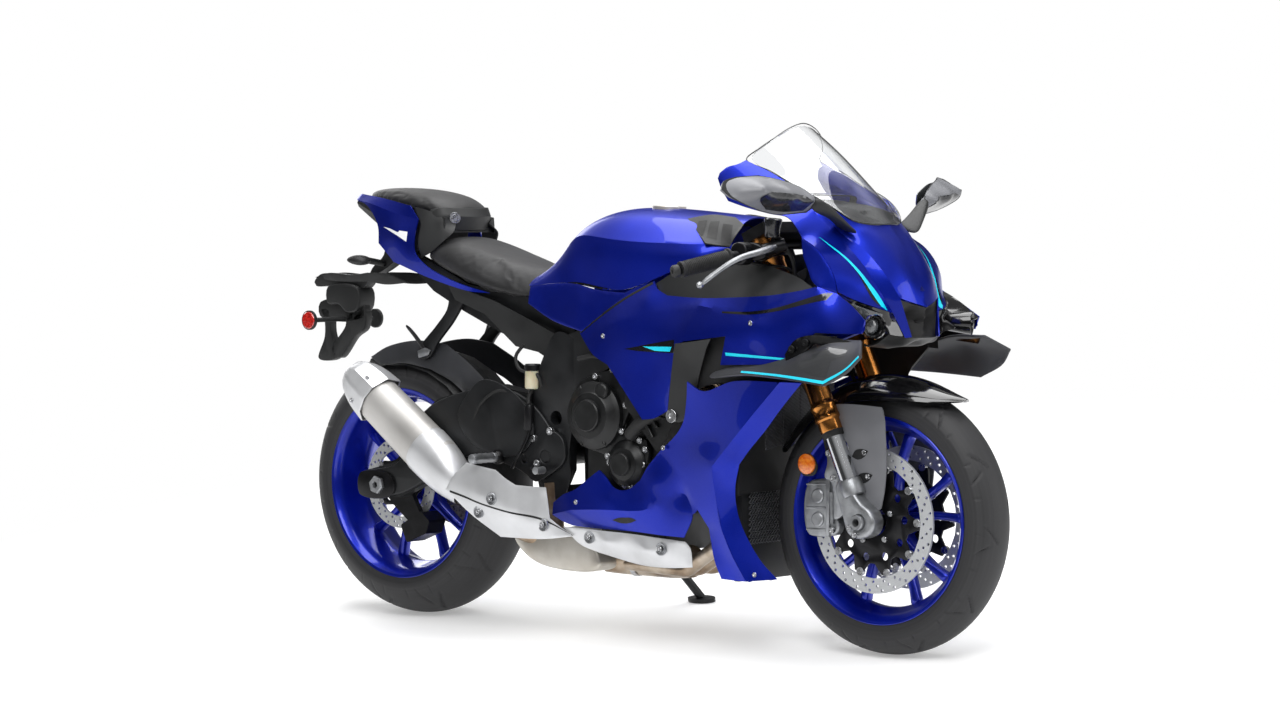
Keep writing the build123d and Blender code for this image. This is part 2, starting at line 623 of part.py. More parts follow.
def silencer():
    """The can with the strap that hangs it from the passenger's right footrest."""
    strap = rod((128, -176, 512), (112, -98, 642), 7)
    return joined(silencer_can(), cut(strap, passenger_footrests()))


def silencer_can():
    """Short slanted can of rounded three-sided section with an end cap and outlet."""
    axis = SILENCER_REAR - SILENCER_FRONT
    out = axis.normalized()
    up = Vector(out.Z, 0, -out.X) * -1
    if up.Z < 0:
        up = up * -1
    side = Vector(0, -1, 0)
    stations = [  # share of the length, height up, height down, half width
        (-0.17, 22, 26, 24), (-0.02, 58, 52, 44), (0.3, 62, 56, 48), (1.0, 56, 50, 46), (1.12, 44, 40, 38)]
    wires = []
    for share, high, low, half in stations:
        c = SILENCER_FRONT + axis * share
        loop = [(0.45 * half, high), (half, high * 0.55), (half, -low * 0.5), (half * 0.5, -low), (-half * 0.5, -low),
                (-half, -low * 0.5), (-half, high * 0.55), (-0.45 * half, high)]
        wires.append(Wire.make_polygon([c + side * a + up * b for a, b in loop], close=True))
    can = Solid.make_loft(wires, True)
    mouth = SILENCER_FRONT + axis * 1.125
    return (can - rod(mouth, mouth - out * 60, 24)).solid()


def exhaust_shields():
    """Guards over the link pipe and the foot of the silencer."""
    guard = soft_plate([(257, 318), (290, 376), (400, 370), (478, 340), (566, 330), (570, 280), (640, 244), (560, 220),
                        (431, 222)], 8, -232, -229)
    stay = [rod((x, -229.5, 229), (x, -118 - SEAT_GAP, 229), 5) for x in (480, 560)]
    return joined(guard, *stay)


FRAME_PLATE = [(572, 670), (642, 602), (618, 545), (596, 450), (598, 381), (566, 321), (508, 330), (492, 423), (486, 563), (530, 640)]


@cache
def main_frame():
    """Twin beams from the steering head down to the pivot plates, with its cross members."""
    head = rod(steer_point(HEAD_LOW), steer_point(HEAD_HIGH), 38)
    head_x = steer_point(HEAD_LOW).X
    beams = []
    for side in (-1, 1):
        stations = [  # place from the rear, inner y, outer y, bottom z, top z
            (head_x - 13, 12, 44, 722, 852), (head_x - 99, 50, 82, 700, 812), (head_x - 189, 104, 136, 672, 785),
            ((head_x - 189 + 760) / 2, 122, 156, 650, 768), (720, 124, 158, 610, 745), (600, 118, 152, 560, 705),
            (560, 118, 150, 545, 690)]
        loops = [(x, [(side * a, low), (side * b, low + 10), (side * b, high - 8), (side * a, high)])
                 for x, a, b, low, high in stations]
        beam = body(loops, across, ruled=True)
        y0, y1 = sorted((side * 127, side * 150))
        post = soft_plate(FRAME_PLATE, 10, y0, y1)
        hole = rod((556, side * 100, 500), (556, side * 160, 500), 17)
        beams.append(joined(beam, post) - hole)
    whole = joined(head, *beams)
    for side in (-1, 1):
        pad = rod((920, side * 136, 740), (920, side * 136, 850), 10)
        lug = rod((760, side * 138, 660), (760, side * 138, 570), 13)
        whole = whole + cut(pad, fuel_tank()) + cut(lug, engine_block())
    whole = whole + rod((578, -128, 336), (578, 128, 336), 9) + rod((565, -122, 640), (565, 122, 640), 18)
    bore = rod(steer_point(HEAD_LOW - 20), steer_point(HEAD_HIGH + 20), STEM_R + RUNNING)
    return (whole + stand_bracket() - bore).solid()


STAND_BORE_R = 8.0
AXLE_BORE_R = 8.0


@cache
def swingarm():
    """Braced arm: two tapering beams, a cross member ahead of the tyre and the pivot tube."""
    side_view = soft_plate([(-75, 292), (-70, 348), (60, 380), (140, 500), (190, 535), (363, 572), (470, 548), (560, 462),
                            (562, 398), (470, 388), (300, 398), (60, 292)], 9, -160, 160)
    window = soft_plate([(150, 440), (205, 500), (350, 532), (440, 508), (470, 440), (380, 430), (200, 415)], 9, -170, 170)
    whole = None
    for side in (-1, 1):
        plan = [(-80, 126), (-80, 154), (300, 154), (420, 138), (486, 101), (565, 101), (565, 74), (470, 74), (360, 104),
                (300, 124), (120, 126)]
        face = Face(Wire.make_polygon([Vector(x, side * y, 200) for x, y in plan], close=True))
        arm = Solid.extrude(face, Vector(0, 0, 450)) & side_view
        arm = arm - window
        if side > 0:
            arm = arm - chain_band(16.0, CHAIN_Y - 13, CHAIN_Y + 13)
        whole = arm if whole is None else whole + arm
    whole = whole + rod((PIVOT.X, -101, PIVOT.Z), (PIVOT.X, 101, PIVOT.Z), 36)
    reach = 127 - SEAT_GAP
    whole = whole + rod((PIVOT.X, -reach, PIVOT.Z), (PIVOT.X, reach, PIVOT.Z), 14)
    cross = plate([(345, 430), (420, 470), (500, 470), (500, 400), (400, 392), (350, 398)], -96, 96)
    clear = rod((0, -106, REAR_TYRE_R), (0, 106, REAR_TYRE_R), REAR_TYRE_R + 14)
    whole = whole + (cross - clear)
    whole = whole - rod((0, -200, REAR_TYRE_R), (0, 200, REAR_TYRE_R), REAR_AXLE_R + RUNNING)
    for side in (-1, 1):
        whole = whole - rod((BOBBIN_X, side * 100, BOBBIN_Z), (BOBBIN_X, side * 170, BOBBIN_Z), BOBBIN_R)
    solids = whole.solids()
    return max(solids, key=lambda s: s.volume)


BOBBIN_X, BOBBIN_Z, BOBBIN_R = 60.0, 335.0, 3.4       # threaded holes for paddock-stand bobbins


def rear_shock():
    """Spring and damper between the frame's cross tube and the arm."""
    low, high = Vector(484, 0, 460), Vector(560, 0, 632)
    way = (high - low).normalized()
    length = (high - low).length
    shock = cut(rod(low, high, 12), swingarm(), main_frame())
    for k in range(7):
        at = low + way * (32 + (length - 82) * k / 6)
        shock = shock + rod(at, at + way * 8, 28)
    return shock.solid()


def rear_axle():
    """Spindle with its nut and head, and the chain adjuster blocks."""
    half = 162.0
    made = rod(REAR_AXLE + Vector(0, -half, 0), REAR_AXLE + Vector(0, half, 0), REAR_AXLE_R)
    for side in (-1, 1):
        y0, y1 = sorted((side * (154 + SEAT_GAP), side * half))
        made = made + rod(REAR_AXLE + Vector(0, y0, 0), REAR_AXLE + Vector(0, y1, 0), 23)
        s0, s1 = sorted((side * (126 - SEAT_GAP), side * 100))
        if side < 0:
            s0, s1 = -126 + SEAT_GAP, -97
        made = made + rod(REAR_AXLE + Vector(0, s0, 0), REAR_AXLE + Vector(0, s1, 0), REAR_AXLE_R + 5)
    return made.solid()


HUGGER_FIXING = radians(16.85)   # angle of the guard's lower fixings about the rear axle


def rear_hugger():
    """Guard over the front of the rear tyre, fixed to the arm."""
    inner_r, wall = REAR_TYRE_R + 12, 3
    start, stop = radians(112), radians(15)
    sections = []
    for k in range(8):
        a = start + (stop - start) * k / 7
        line = [(0, inner_r), (60, inner_r - 14), (92, inner_r - 44)]
        loop = [(y, r) for y, r in line] + [(92 + wall, inner_r - 44), (62, inner_r - 14 + wall), (0, inner_r + wall)]
        full = [(-y, r) for y, r in reversed(line[1:])] + line + loop[3:5] + [(0, inner_r + wall)] + \
               [(-62, inner_r - 14 + wall), (-92 - wall, inner_r - 44)]
        sections.append(Wire.make_polygon([Vector(REAR_AXLE.X + r * cos(a), y, REAR_AXLE.Z + r * sin(a)) for y, r in full],
                                          close=True))
    guard = Solid.make_loft(sections, True)
    for side in (-1, 1):
        root = REAR_AXLE + Vector(cos(HUGGER_FIXING), 0, sin(HUGGER_FIXING)) * (inner_r - 44) + Vector(0, side * 90, 0)
        guard = guard + rod(root, root + Vector(0, side * 34, 0), 7)
    return guard.solid()


def rear_caliper():
    """Single caliper below the arm on its bracket, astride the rear disc."""
    outline = [(30, 222), (95, 258), (125, 235), (112, 205), (50, 180)]
    block = soft_plate(outline, 6, -118, -60)
    block = cut(block, ring(REAR_DISC_R + 5, 20, REAR_DISC_Y - 7.7, REAR_DISC_Y + 7.7, REAR_AXLE))
    bracket = soft_plate([(-26, 320), (20, 345), (60, 300), (96, 240), (60, 225), (10, 262), (-20, 290)], 7, -112, -98)
    bracket = bracket - rod((0, -130, REAR_TYRE_R), (0, -90, REAR_TYRE_R), REAR_AXLE_R + 5.3)
    return joined(block, bracket)


def subframe():
    """Two braced rails that carry the seats, with cross bars."""
    whole = None
    for side in (-1, 1):
        y0, y1 = sorted((side * 74, side * 94))
        rail = soft_plate([(562, 706), (572, 664), (480, 640), (330, 694), (214, 742), (118, 788), (20, 866), (10, 892.6),
                           (58, 879.4), (72, 871.4), (140, 845.4), (230, 805.4), (330, 789.4), (420, 777.4), (436, 752)], 8, y0, y1)
        window = soft_plate([(500, 705), (515, 672), (478, 664), (345, 716), (236, 758), (262, 772), (345, 746)], 6, y0 - 1, y1 + 1)
        rail = rail - window
        whole = rail if whole is None else whole + rail
    for x, z in ((540, 680), (336, 772), (90, 840)):
        whole = whole + rod((x, -80, z), (x, 80, z), 9)
    return whole.solid()


def rider_footrests():
    """Hanger plates with heel guards and pegs; brake pedal on the right, gear lever on the left."""
    made = []
    for side in (-1, 1):
        y0, y1 = sorted((side * (150 + SEAT_GAP), side * 162))
        hanger = soft_plate([(540, 470), (584, 450), (588, 405), (500, 352), (478, 362), (440, 380), (400, 396), (404, 414),
                             (431, 430), (500, 452)], 7, y0, y1)
        p0, p1 = sorted((side * 156, side * 262))
        hanger = joined(hanger, rod((388, p0, 403), (388, p1, 403), 11),
                        rod((388, side * 152, 403), (388, side * 172, 403), 17))
        lever_end = (545, side * 190, 380) if side < 0 else (560, side * 200, 378)
        hanger = joined(hanger, rod((500, side * 156, 385), (500, side * 180, 385), 9),
                        rod((500, side * 176, 385), lever_end, 7), rod(lever_end, Vector(*lever_end) + Vector(0, side * 34, 0), 8))
        made.append(hanger)
    return made


@cache
def passenger_footrests():
    made = []
    for side in (-1, 1):
        y0, y1 = sorted((side * (94 + SEAT_GAP), side * 106))
        hanger = soft_plate([(262, 735), (236, 752), (180, 720), (120, 660), (100, 650), (112, 632), (150, 640), (240, 712)], 6, y0, y1)
        peg = rod((118, side * 100, 650), (136, side * 176, 640), 10)
        made.append(joined(hanger, peg))
    return made


# ---------------------------------------------------------------- tank, seats and tail
@cache
def fuel_tank():
    """Sculpted tank with knee recesses and a flat-topped dome."""
    rows = [  # x, then half section (y, z) from the top centre round to the base
        (452, [(0, 846), (40, 842), (72, 815), (92, 780), (90, 752)]),
        (530, [(0, 884), (58, 878), (92, 842), (116, 800), (112, 762)]),
        (606, [(0, 966), (72, 958), (122, 922), (140, 850), (128, 780)]),
        (690, [(0, 991), (78, 980), (138, 936), (164, 862), (150, 790)]),
        (850, [(0, 985), (88, 972), (150, 920), (172, 856), (152, 806)]),
        (975, [(0, 974), (88, 964), (140, 908), (150, 868), (120, 828)]),
        (1040, [(0, 966), (48, 956), (62, 918), (60, 890), (52, 866)])]
    shell = body([(x, mirrored(half)) for x, half in rows], across, ruled=True)
    return (shell - rod(LID_SEAT, LID_SEAT + LID_UP * 30, LID_R + LID_GAP)).solid()


LID_SEAT, LID_UP = Vector(770, 0, 983), Vector(0.0375, 0, 1).normalized()
LID_R, LID_GAP = 40.0, 8.0


def fuel_lid():
    """Flush filler lid, hinged at its front."""
    lid = rod(LID_SEAT + LID_UP * SEAT_GAP, LID_SEAT + LID_UP * 9, LID_R)
    knuckle_at = LID_SEAT + LID_UP * 10 + Vector(LID_R, 0, 0)
    return joined(lid, rod(knuckle_at - Vector(0, 12, 0), knuckle_at + Vector(0, 12, 0), 3.5))


def tank_side_covers():
    outline = [(470, 770), (488, 800), (604, 806), (775, 786), (850, 800), (760, 728), (640, 680)]
    made = []
    for side in (-1, 1):
        y0, y1 = sorted((side * (158 + SEAT_GAP), side * 165))
        made.append(soft_plate(outline, 8, y0, y1))
    return made


def rider_seat():
    rows = [  # x, half section from the top centre
        (451.6, [(0, 822), (60, 812), (78, 790), (70, 772)]),
        (420, [(0, 838), (70, 830), (112, 798), (108, 778)]),
        (330, [(0, 864), (84, 856), (126, 812), (120, 790)]),
        (230, [(0, 892), (84, 886), (118, 840), (114, 806)]),
        (140, [(0, 916), (74, 910), (108, 872), (100, 846)]),
        (72, [(0, 914), (56, 904), (66, 884), (60, 872)])]
    return body([(x, mirrored(half)) for x, half in rows], across, ruled=True)


def passenger_seat():
    rows = [
        (160, [(0, 990), (60, 982), (92, 972), (90, 962)]),
        (100, [(0, 1016), (70, 1006), (98, 984), (94, 974)]),
        (0, [(0, 1032), (66, 1022), (88, 1004), (84, 992)]),
        (-100, [(0, 1034), (52, 1028), (66, 1016), (62, 1006)]),
        (-150, [(0, 1028), (34, 1025), (40, 1018), (36, 1012)])]
    return body([(x, mirrored(half)) for x, half in rows], across, ruled=True)


def tail_panels():
    """Pointed tail shells either side of the passenger seat."""
    rows = [  # x, line (y, z) from the top edge out and down to the lower edge
        (-190, [(24, 1016), (34, 1010), (40, 1000), (36, 992)]),
        (-120, [(68, 1010), (84, 996), (86, 972), (72, 950)]),
        (-30, [(90, 998), (112, 978), (112, 935), (92, 900)]),
        (80, [(102, 972), (128, 945), (132, 890), (112, 850)]),
        (180, [(112, 930), (136, 905), (138, 860), (120, 812)]),
        (300, [(130, 806), (139, 800), (139, 792), (130, 786)])]
    half = skin([(x, line) for x, line in rows], across, ruled=True)
    boss = rod((40, 88 + SEAT_GAP, 930), (40, 121, 930), 6)
    return both_sides(joined(half, boss))


@cache
def tail_undertray():
    """Black inner tail that carries the seats and ends in the tail lamp."""
    rows = [
        (150, [(0, 963.6), (88, 963.6), (90, 945), (90, 928), (0, 928)]),
        (66, [(0, 979.7), (84, 979.7), (88, 950), (88, 928), (0, 928)]),
        (58, [(0, 981.2), (84, 981.2), (88, 950), (88, 880), (0, 880)]),
        (0, [(0, 991.6), (76, 991.6), (88, 940), (88, 896), (0, 896)]),
        (-80, [(0, 1002.8), (60, 1002.8), (62, 960), (50, 930), (0, 930)]),
        (-200, [(0, 1010), (22, 1009), (26, 1000), (20, 990), (0, 990)])]
    return body([(x, mirrored(half)) for x, half in rows], across, ruled=True)


def plate_hanger():
    """Arm below the tail with the blank number plate and its lamp."""
    arm = soft_plate([(-20, 925), (-60, 880), (-260, 812), (-300, 620), (-318, 625), (-292, 835), (-120, 965)], 7, -24, 24)
    arm = cut(arm, tail_undertray())
    board = plate([(-322, 740), (-286, 742), (-318, 612), (-332, 612)], -60, 60)
    return joined(arm, board)


def rear_signals():
    made = []
    for side in (-1, 1):
        stalk = rod((-268, side * (24 + 3 * SEAT_GAP), 800), (-272, side * 62, 800), 8)
        lamp = soft_plate([(-308, 800), (-288, 818), (-250, 812), (-240, 798), (-270, 784)], 6, min(side * 60, side * 118), max(side * 60, side * 118))
        made.append(joined(stalk, lamp))
    return made


# ---------------------------------------------------------------- fairing
COWL_ROWS = [  # x, line (y, z) from the top edge out and down to the lower edge
    (1492, [(0, 792), (34, 788), (66, 774), (84, 760)]),
    (1440, [(0, 868), (72, 860), (128, 816), (162, 772)]),
    (1395, [(0, 944), (78, 924), (150, 866), (196, 802)]),
    (1340, [(108, 974), (152, 930), (186, 880), (208, 820)]),
    (1270, [(150, 1020), (172, 1000), (188, 976), (196, 940)]),
    (1180, [(170, 1064), (184, 1040), (192, 1012), (194, 976)]),
    (1086, [(176, 1082), (188, 1062), (194, 1036), (194, 1002)])]


@cache
def front_cowl():
    """Nose with its flanks drawn back either side of the screen."""
    half = skin([(x, line) for x, line in COWL_ROWS], across, ruled=True)
    front = half + half.mirror(Plane.XZ)
    return front.solid() if len(front.solids()) == 1 else max(front.solids(), key=lambda s: s.volume)


def windscreen():
    rows = [
        (1395, [(0, 947), (5, 946.4), (10, 945)]),
        (1340, [(0, 1004), (64, 996), (107, 976)]),
        (1270, [(0, 1072), (92, 1060), (149.5, 1021)]),
        (1180, [(0, 1158), (98, 1132), (169.5, 1065)]),
        (1130, [(0, 1196), (96, 1168), (173, 1074)])]
    half = skin([(x, line) for x, line in rows], across, wall=2.5, ruled=True)
    whole = (half + half.mirror(Plane.XZ)).solid()
    trim = plate([(1136, 1000), (1136, 1094), (1176, 1146), (1157, 1175), (1150, 1230), (1000, 1230), (1000, 1000)], -300, 300)
    return cut(whole, trim, front_cowl())


def headlights():
    """Lamp pods either side of the central air intake."""
    pods = [rod((1440, side * 128, 735), (1478, side * 128, 735), 26) for side in (-1, 1)]
    arms = [slab([(side * 60, 722), (side * 110, 728), (side * 110, 742), (side * 60, 738)], 1446, 1462) for side in (-1, 1)]
    duct = slab([(-60, 706), (60, 706), (70, 756), (-70, 756)], 1400, 1492) - slab([(-52, 712), (52, 712), (62, 750), (-62, 750)], 1390, 1500)
    return joined(duct, *arms, *pods)


def cockpit():
    """Instrument on its stay behind the screen."""
    meter = plate([(1215, 955), (1240, 960), (1272, 1010), (1262, 1022)], -80, 80)
    stay = plate([(1160, 842), (1160, 800), (1300, 772), (1400, 756 + SEAT_GAP), (1470, 756 + SEAT_GAP), (1450, 772),
                  (1400, 790), (1430, 900), (1416, 908), (1330, 800), (1292, 930), (1236, 966), (1226, 950),
                  (1272, 900), (1280, 806)], -10, 10)
    stay = cut(stay, rod(steer_point(HEAD_LOW - 60), steer_point(HEAD_HIGH + 60), 38 + SEAT_GAP), front_cowl())
    return joined(meter, stay)


SIDE_FORM = [  # x, line (y, z) down the flank
    (600, [(158, 830), (168, 700), (182, 560), (184, 420), (172, 300), (112, 150)]),
    (760, [(168, 830), (196, 720), (214, 560), (206, 420), (186, 300), (122, 150)]),
    (900, [(176, 830), (216, 740), (222, 600), (212, 430), (186, 300), (126, 150)]),
    (1010, [(186, 830), (230, 740), (226, 600), (204, 430), (172, 300), (118, 150)]),
    (1120, [(198, 830), (234, 745), (216, 600), (182, 430), (148, 300), (102, 150)]),
    (1250, [(208, 830), (230, 750), (200, 620), (160, 430), (130, 300), (90, 150)]),
    (1370, [(206, 830), (220, 750), (190, 640), (150, 430), (120, 300), (80, 150)]),
    (1500, [(170, 830), (180, 745), (170, 640), (130, 430), (100, 300), (70, 150)])]


@cache
def side_form(depth=0.0):
    """Left flank of the bike as one shell, its outside a depth below the outer surface."""
    return skin([(x, inset(line, depth) if depth else line) for x, line in SIDE_FORM], across, ruled=True)


def bosses(panel, table):
    """A left panel with its inward mounting bosses, from (x, z, inner y, outer y, radius)."""
    for x, z, y_in, y_out, radius in table:
        panel = panel + rod((x, y_in, z), (x, y_out, z), radius)
    return panel.solid()


@cache
def side_fairings():
    outline = [(640, 700), (700, 720), (868, 818), (925, 792), (1021, 790), (1229, 796), (1330, 815), (1420, 790), (1480, 745),
               (1440, 715), (1300, 706), (975, 700), (968, 650), (945, 535), (866, 512), (765, 615), (735, 662)]
    panel = (side_form() & soft_plate(outline, 5, 60, 300)).solid()
    return both_sides(bosses(panel, [(880, 700, 156 + SEAT_GAP, 213.5, 8), (1000, 740, 138 + SEAT_GAP, 227, 8)]))


@cache
def belly_fairings():
    outline = [(563, 262), (565, 308), (700, 384), (780, 348), (850, 372), (905, 438), (1008, 530), (1035, 600), (1285, 604),
               (1122, 478), (1092, 410), (1086, 300), (1136, 164), (1000, 160), (640, 172)]
    panel = (side_form() & soft_plate(outline, 5, 60, 300)).solid()
    return both_sides(bosses(panel, [(780, 310, CASE_HALF + SEAT_GAP, 186, 8)]))


@cache
def fairing_vanes():
    """Dark inner walls that close the flank behind the gap between the upper and lower fairing."""
    outline = [(952, 508), (950, 560), (966, 712), (1290, 718), (1288, 590), (1060, 588), (1030, 540), (1010, 512)]
    return both_sides((side_form(PANEL + SEAT_GAP) & soft_plate(outline, 5, 60, 300)).solid())


def winglets():
    """Broad aero blades on the flanks, turned down at their tips."""
    rows = [  # y, outline (x, z) of the blade's section
        (190, [(1070, 640), (1280, 680), (1400, 700), (1398, 694), (1280, 672), (1072, 632)]),
        (232, [(1096, 640), (1300, 680), (1420, 700), (1418, 694), (1300, 672), (1098, 632)]),
        (268, [(1160, 632), (1330, 664), (1500, 684), (1498, 678), (1330, 656), (1162, 625)]),
        (292, [(1230, 622), (1360, 640), (1520, 658), (1518, 652), (1360, 632), (1232, 615)]),
        (302, [(1320, 606), (1400, 612), (1500, 632), (1498, 627), (1400, 606), (1322, 600)])]
    half = Solid.make_loft([Wire.make_polygon([Vector(x, y, z) for x, z in loop], close=True) for y, loop in rows], True)
    left = [max(p, key=lambda s: s.center().Y) for p in (side_fairings(), belly_fairings(), fairing_vanes())]
    return both_sides(cut(half, *left))


def mirrors():
    made = []
    for side in (-1, 1):
        rows = [
            (96, [(1346, 944), (1404, 930), (1402, 920), (1346, 932)]),
            (200, [(1360, 958), (1410, 948), (1406, 938), (1360, 946)]),
            (262, [(1352, 996), (1412, 974), (1408, 962), (1350, 972)]),
            (330, [(1312, 1042), (1396, 1026), (1380, 990), (1316, 975)]),
            (390, [(1276, 1054), (1346, 1052), (1346, 1002), (1290, 984)]),
            (448, [(1252, 1030), (1300, 1032), (1302, 1008), (1270, 1004)])]
        blade = Solid.make_loft([Wire.make_polygon([Vector(x, side * y, z) for x, z in loop], close=True)
                                 for y, loop in rows], True)
        made.append(cut(blade, front_cowl()))
    return made


# ---------------------------------------------------------------- side stand
def side_stand():
    """Leg with a plain foot pad that lies flat on the floor when the bike leans."""
    lean = radians(LEAN)
    foot_z = STAND_FOOT_Y * tan(lean)
    foot = Vector(STAND_FOOT_X, STAND_FOOT_Y, foot_z)
    normal = Vector(0, -sin(lean), cos(lean))
    leg = rod(STAND_PIVOT + Vector(0, 12, -8), foot + normal * 9, 10)
    eye = rod(STAND_PIVOT + Vector(0, 0, 0), STAND_PIVOT + Vector(0, 24, 0), 18)
    pad_plane = Plane(origin=foot, x_dir=(1, 0, 0), z_dir=normal)
    pad = Solid.extrude((pad_plane * make_face(Ellipse(38, 24))).face(), normal * 9)
    whole = joined(leg, eye, pad)
    return (whole - rod(STAND_PIVOT - Vector(0, 50, 0), STAND_PIVOT + Vector(0, 50, 0), 6 + RUNNING)).solid()


def stand_bracket():
    lug = soft_plate([(516, 338), (590, 338), (580, 244), (530, 244)], 8, 116, 131.5)
    pin = rod((STAND_PIVOT.X, 117, STAND_PIVOT.Z), (STAND_PIVOT.X, 162, STAND_PIVOT.Z), 6)
    return joined(lug, pin)


# ---------------------------------------------------------------- the whole bike
def all_nodes():
    """Every node's solids in the upright frame, by name."""
    return {
        "main_frame": main_frame,
        "subframe": subframe, "engine_block": engine_block, "engine_covers": engine_covers,
        "radiator": radiator, "exhaust_headers": exhaust_headers, "exhaust_box": exhaust_box,
        "silencer": silencer, "exhaust_shields": exhaust_shields, "swingarm": swingarm,
        "rear_shock": rear_shock, "rear_axle": rear_axle, "drive_chain": drive_chain,
        "rear_hugger": rear_hugger, "rear_caliper": rear_caliper, "rider_footrests": rider_footrests,
        "passenger_footrests": passenger_footrests, "fuel_tank": fuel_tank, "tank_side_covers": tank_side_covers,
        "rider_seat": rider_seat, "passenger_seat": passenger_seat, "tail_panels": tail_panels,
        "tail_undertray": tail_undertray, "plate_hanger": plate_hanger, "rear_signals": rear_signals,
        "front_cowl": front_cowl, "windscreen": windscreen, "headlights": headlights, "cockpit": cockpit,
        "side_fairings": side_fairings, "belly_fairings": belly_fairings, "fairing_vanes": fairing_vanes,
        "winglets": winglets, "mirrors": mirrors, "fuel_lid": fuel_lid, "side_stand": side_stand,
        "yokes": yokes, "fork_tubes": fork_tubes, "fork_legs": fork_legs, "front_axle": front_axle,
        "front_calipers": front_calipers, "handlebars": handlebars, "hand_controls": hand_controls,
        "front_mudguard": front_mudguard, "brake_hoses": brake_hoses,
        "front_rim": lambda: rim(FRONT_AXLE, FRONT_RIM_W, FRONT_AXLE_R + RUNNING, 58, 34, 24),
        "front_tyre": lambda: tyre(FRONT_AXLE, FRONT_TYRE_R, FRONT_TYRE_W, FRONT_CROWN_R, FRONT_RIM_W),
        "front_discs": front_discs,
        "rear_rim": lambda: rim(REAR_AXLE, REAR_RIM_W, REAR_AXLE_R + RUNNING, 72, 46, 30),
        "rear_tyre": lambda: tyre(REAR_AXLE, REAR_TYRE_R, REAR_TYRE_W, REAR_CROWN_R, REAR_RIM_W),
        "rear_disc": rear_disc,
        "rear_sprocket": lambda: joined(sprocket(REAR_AXLE, SPROCKET_TEETH, CHAIN_Y, 6, 60),
                                        ring(66, REAR_AXLE_R + 12, 72 + SEAT_GAP, CHAIN_Y + 3, REAR_AXLE)),
    }


def parked(solid):
    """The bike's upright frame, leaned onto its stand."""
    return solid.moved(Location((0, 0, 0), (-LEAN, 0, 0)))


def main():
    os.makedirs("parts", exist_ok=True)
    nodes = {}
    for name, make in all_nodes().items():
        made = make()
        solids = []
        for piece in made if isinstance(made, (list, tuple)) else [made]:
            solids += [parked(s) for s in piece.solids()]
        nodes[name] = solids
    box = Compound([s for solids in nodes.values() for s in solids]).bounding_box()
    shift = Location((-(box.min.X + box.max.X) / 2, -(box.min.Y + box.max.Y) / 2, -box.min.Z))
    print("shift", shift.position, "size", box.size)
    print("hose radii", [round(r, 1) for r in bend_radii([Vector(p) for p in HOSE_ROUTE])])
    for name, solids in nodes.items():
        export_step(Compound([s.moved(shift) for s in solids]), f"parts/{name}.step")


main()
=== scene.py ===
"""Blue sport bike leaning on its side stand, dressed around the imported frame.

Shapes are given in the upright bike's own millimetres: x forward from the rear axle,
y to the left, z up from the ground. BIKE turns and leans them into the frame."""
import json
import bmesh
import bpy
import numpy as np
from math import asin, atan2, copysign, cos, pi, radians, sin
from mathutils import Matrix, Vector
from mathutils.bvhtree import BVHTree
from mathutils.geometry import delaunay_2d_cdt


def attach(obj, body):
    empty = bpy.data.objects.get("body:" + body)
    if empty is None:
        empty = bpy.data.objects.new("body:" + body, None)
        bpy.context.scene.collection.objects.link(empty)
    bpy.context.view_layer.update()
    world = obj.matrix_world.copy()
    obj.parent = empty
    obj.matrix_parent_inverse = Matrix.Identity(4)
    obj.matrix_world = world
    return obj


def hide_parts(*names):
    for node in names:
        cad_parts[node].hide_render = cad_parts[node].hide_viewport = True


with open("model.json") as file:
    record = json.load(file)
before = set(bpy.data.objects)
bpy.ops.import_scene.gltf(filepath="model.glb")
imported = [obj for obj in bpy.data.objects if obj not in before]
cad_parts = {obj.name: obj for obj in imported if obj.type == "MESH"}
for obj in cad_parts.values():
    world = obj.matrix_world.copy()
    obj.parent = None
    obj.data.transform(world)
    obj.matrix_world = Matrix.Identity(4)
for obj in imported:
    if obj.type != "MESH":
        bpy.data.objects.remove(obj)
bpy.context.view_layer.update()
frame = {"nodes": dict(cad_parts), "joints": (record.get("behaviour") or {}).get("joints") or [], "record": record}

TAG = {-1: "right", 1: "left"}         # side of the bike by the sign of y
REAR_R, FRONT_R = 320.4, 299.8         # tyre radii
WHEELBASE = 1405.0
RAKE = radians(24)
WELD = 2e-5                            # metres between points that count as one
FORK_HALF = 105.0                      # from the middle to a fork leg's centre
CASE_SIDE = 150.3                      # from the middle to the engine case's outer face
BUBBLE_FRAMES = 20                     # frames that a seat's cloth runs
joint = {j["name"]: j for j in frame["joints"]}
hub = Vector(joint["rear_wheel_spin"]["pos_m"])
axle = Vector(joint["rear_wheel_spin"]["axis"])
LEAN = Matrix.Rotation(atan2(axle.z, axle.y), 4, "X")
BIKE = Matrix.Translation(hub) @ LEAN @ Matrix.Scale(0.001, 4) @ Matrix.Translation((0, 0, -REAR_R))
REAR_HUB = Vector((0, 0, REAR_R))
FRONT_HUB = Vector((WHEELBASE, 0, FRONT_R))
RIGHT = (0, -1, 0)                     # the way that most side pieces face
STEER = Vector((-sin(RAKE), 0, cos(RAKE)))
EYE = (0.636, -0.771, 0.038)           # from the bike towards where it is mostly seen from


# ---- meshes ----
def build(name, points, faces):
    """A mesh object from points in bike millimetres."""
    mesh = bpy.data.meshes.new(name)
    mesh.from_pydata([BIKE @ Vector(p) for p in points], [], [tuple(f) for f in faces])
    made = bpy.data.objects.new(name, mesh)
    bpy.context.scene.collection.objects.link(made)
    return made


def edit(piece, work):
    """Runs work(bmesh) on the piece's mesh."""
    shape = bmesh.new()
    shape.from_mesh(piece.data)
    work(shape)
    shape.to_mesh(piece.data)
    shape.free()
    piece.data.update()
    return piece


def face_out(piece):
    """Merges doubles and turns a closed shape's faces outward."""
    def work(shape):
        bmesh.ops.remove_doubles(shape, verts=shape.verts, dist=WELD)
        bmesh.ops.recalc_face_normals(shape, faces=shape.faces)
    return edit(piece, work)


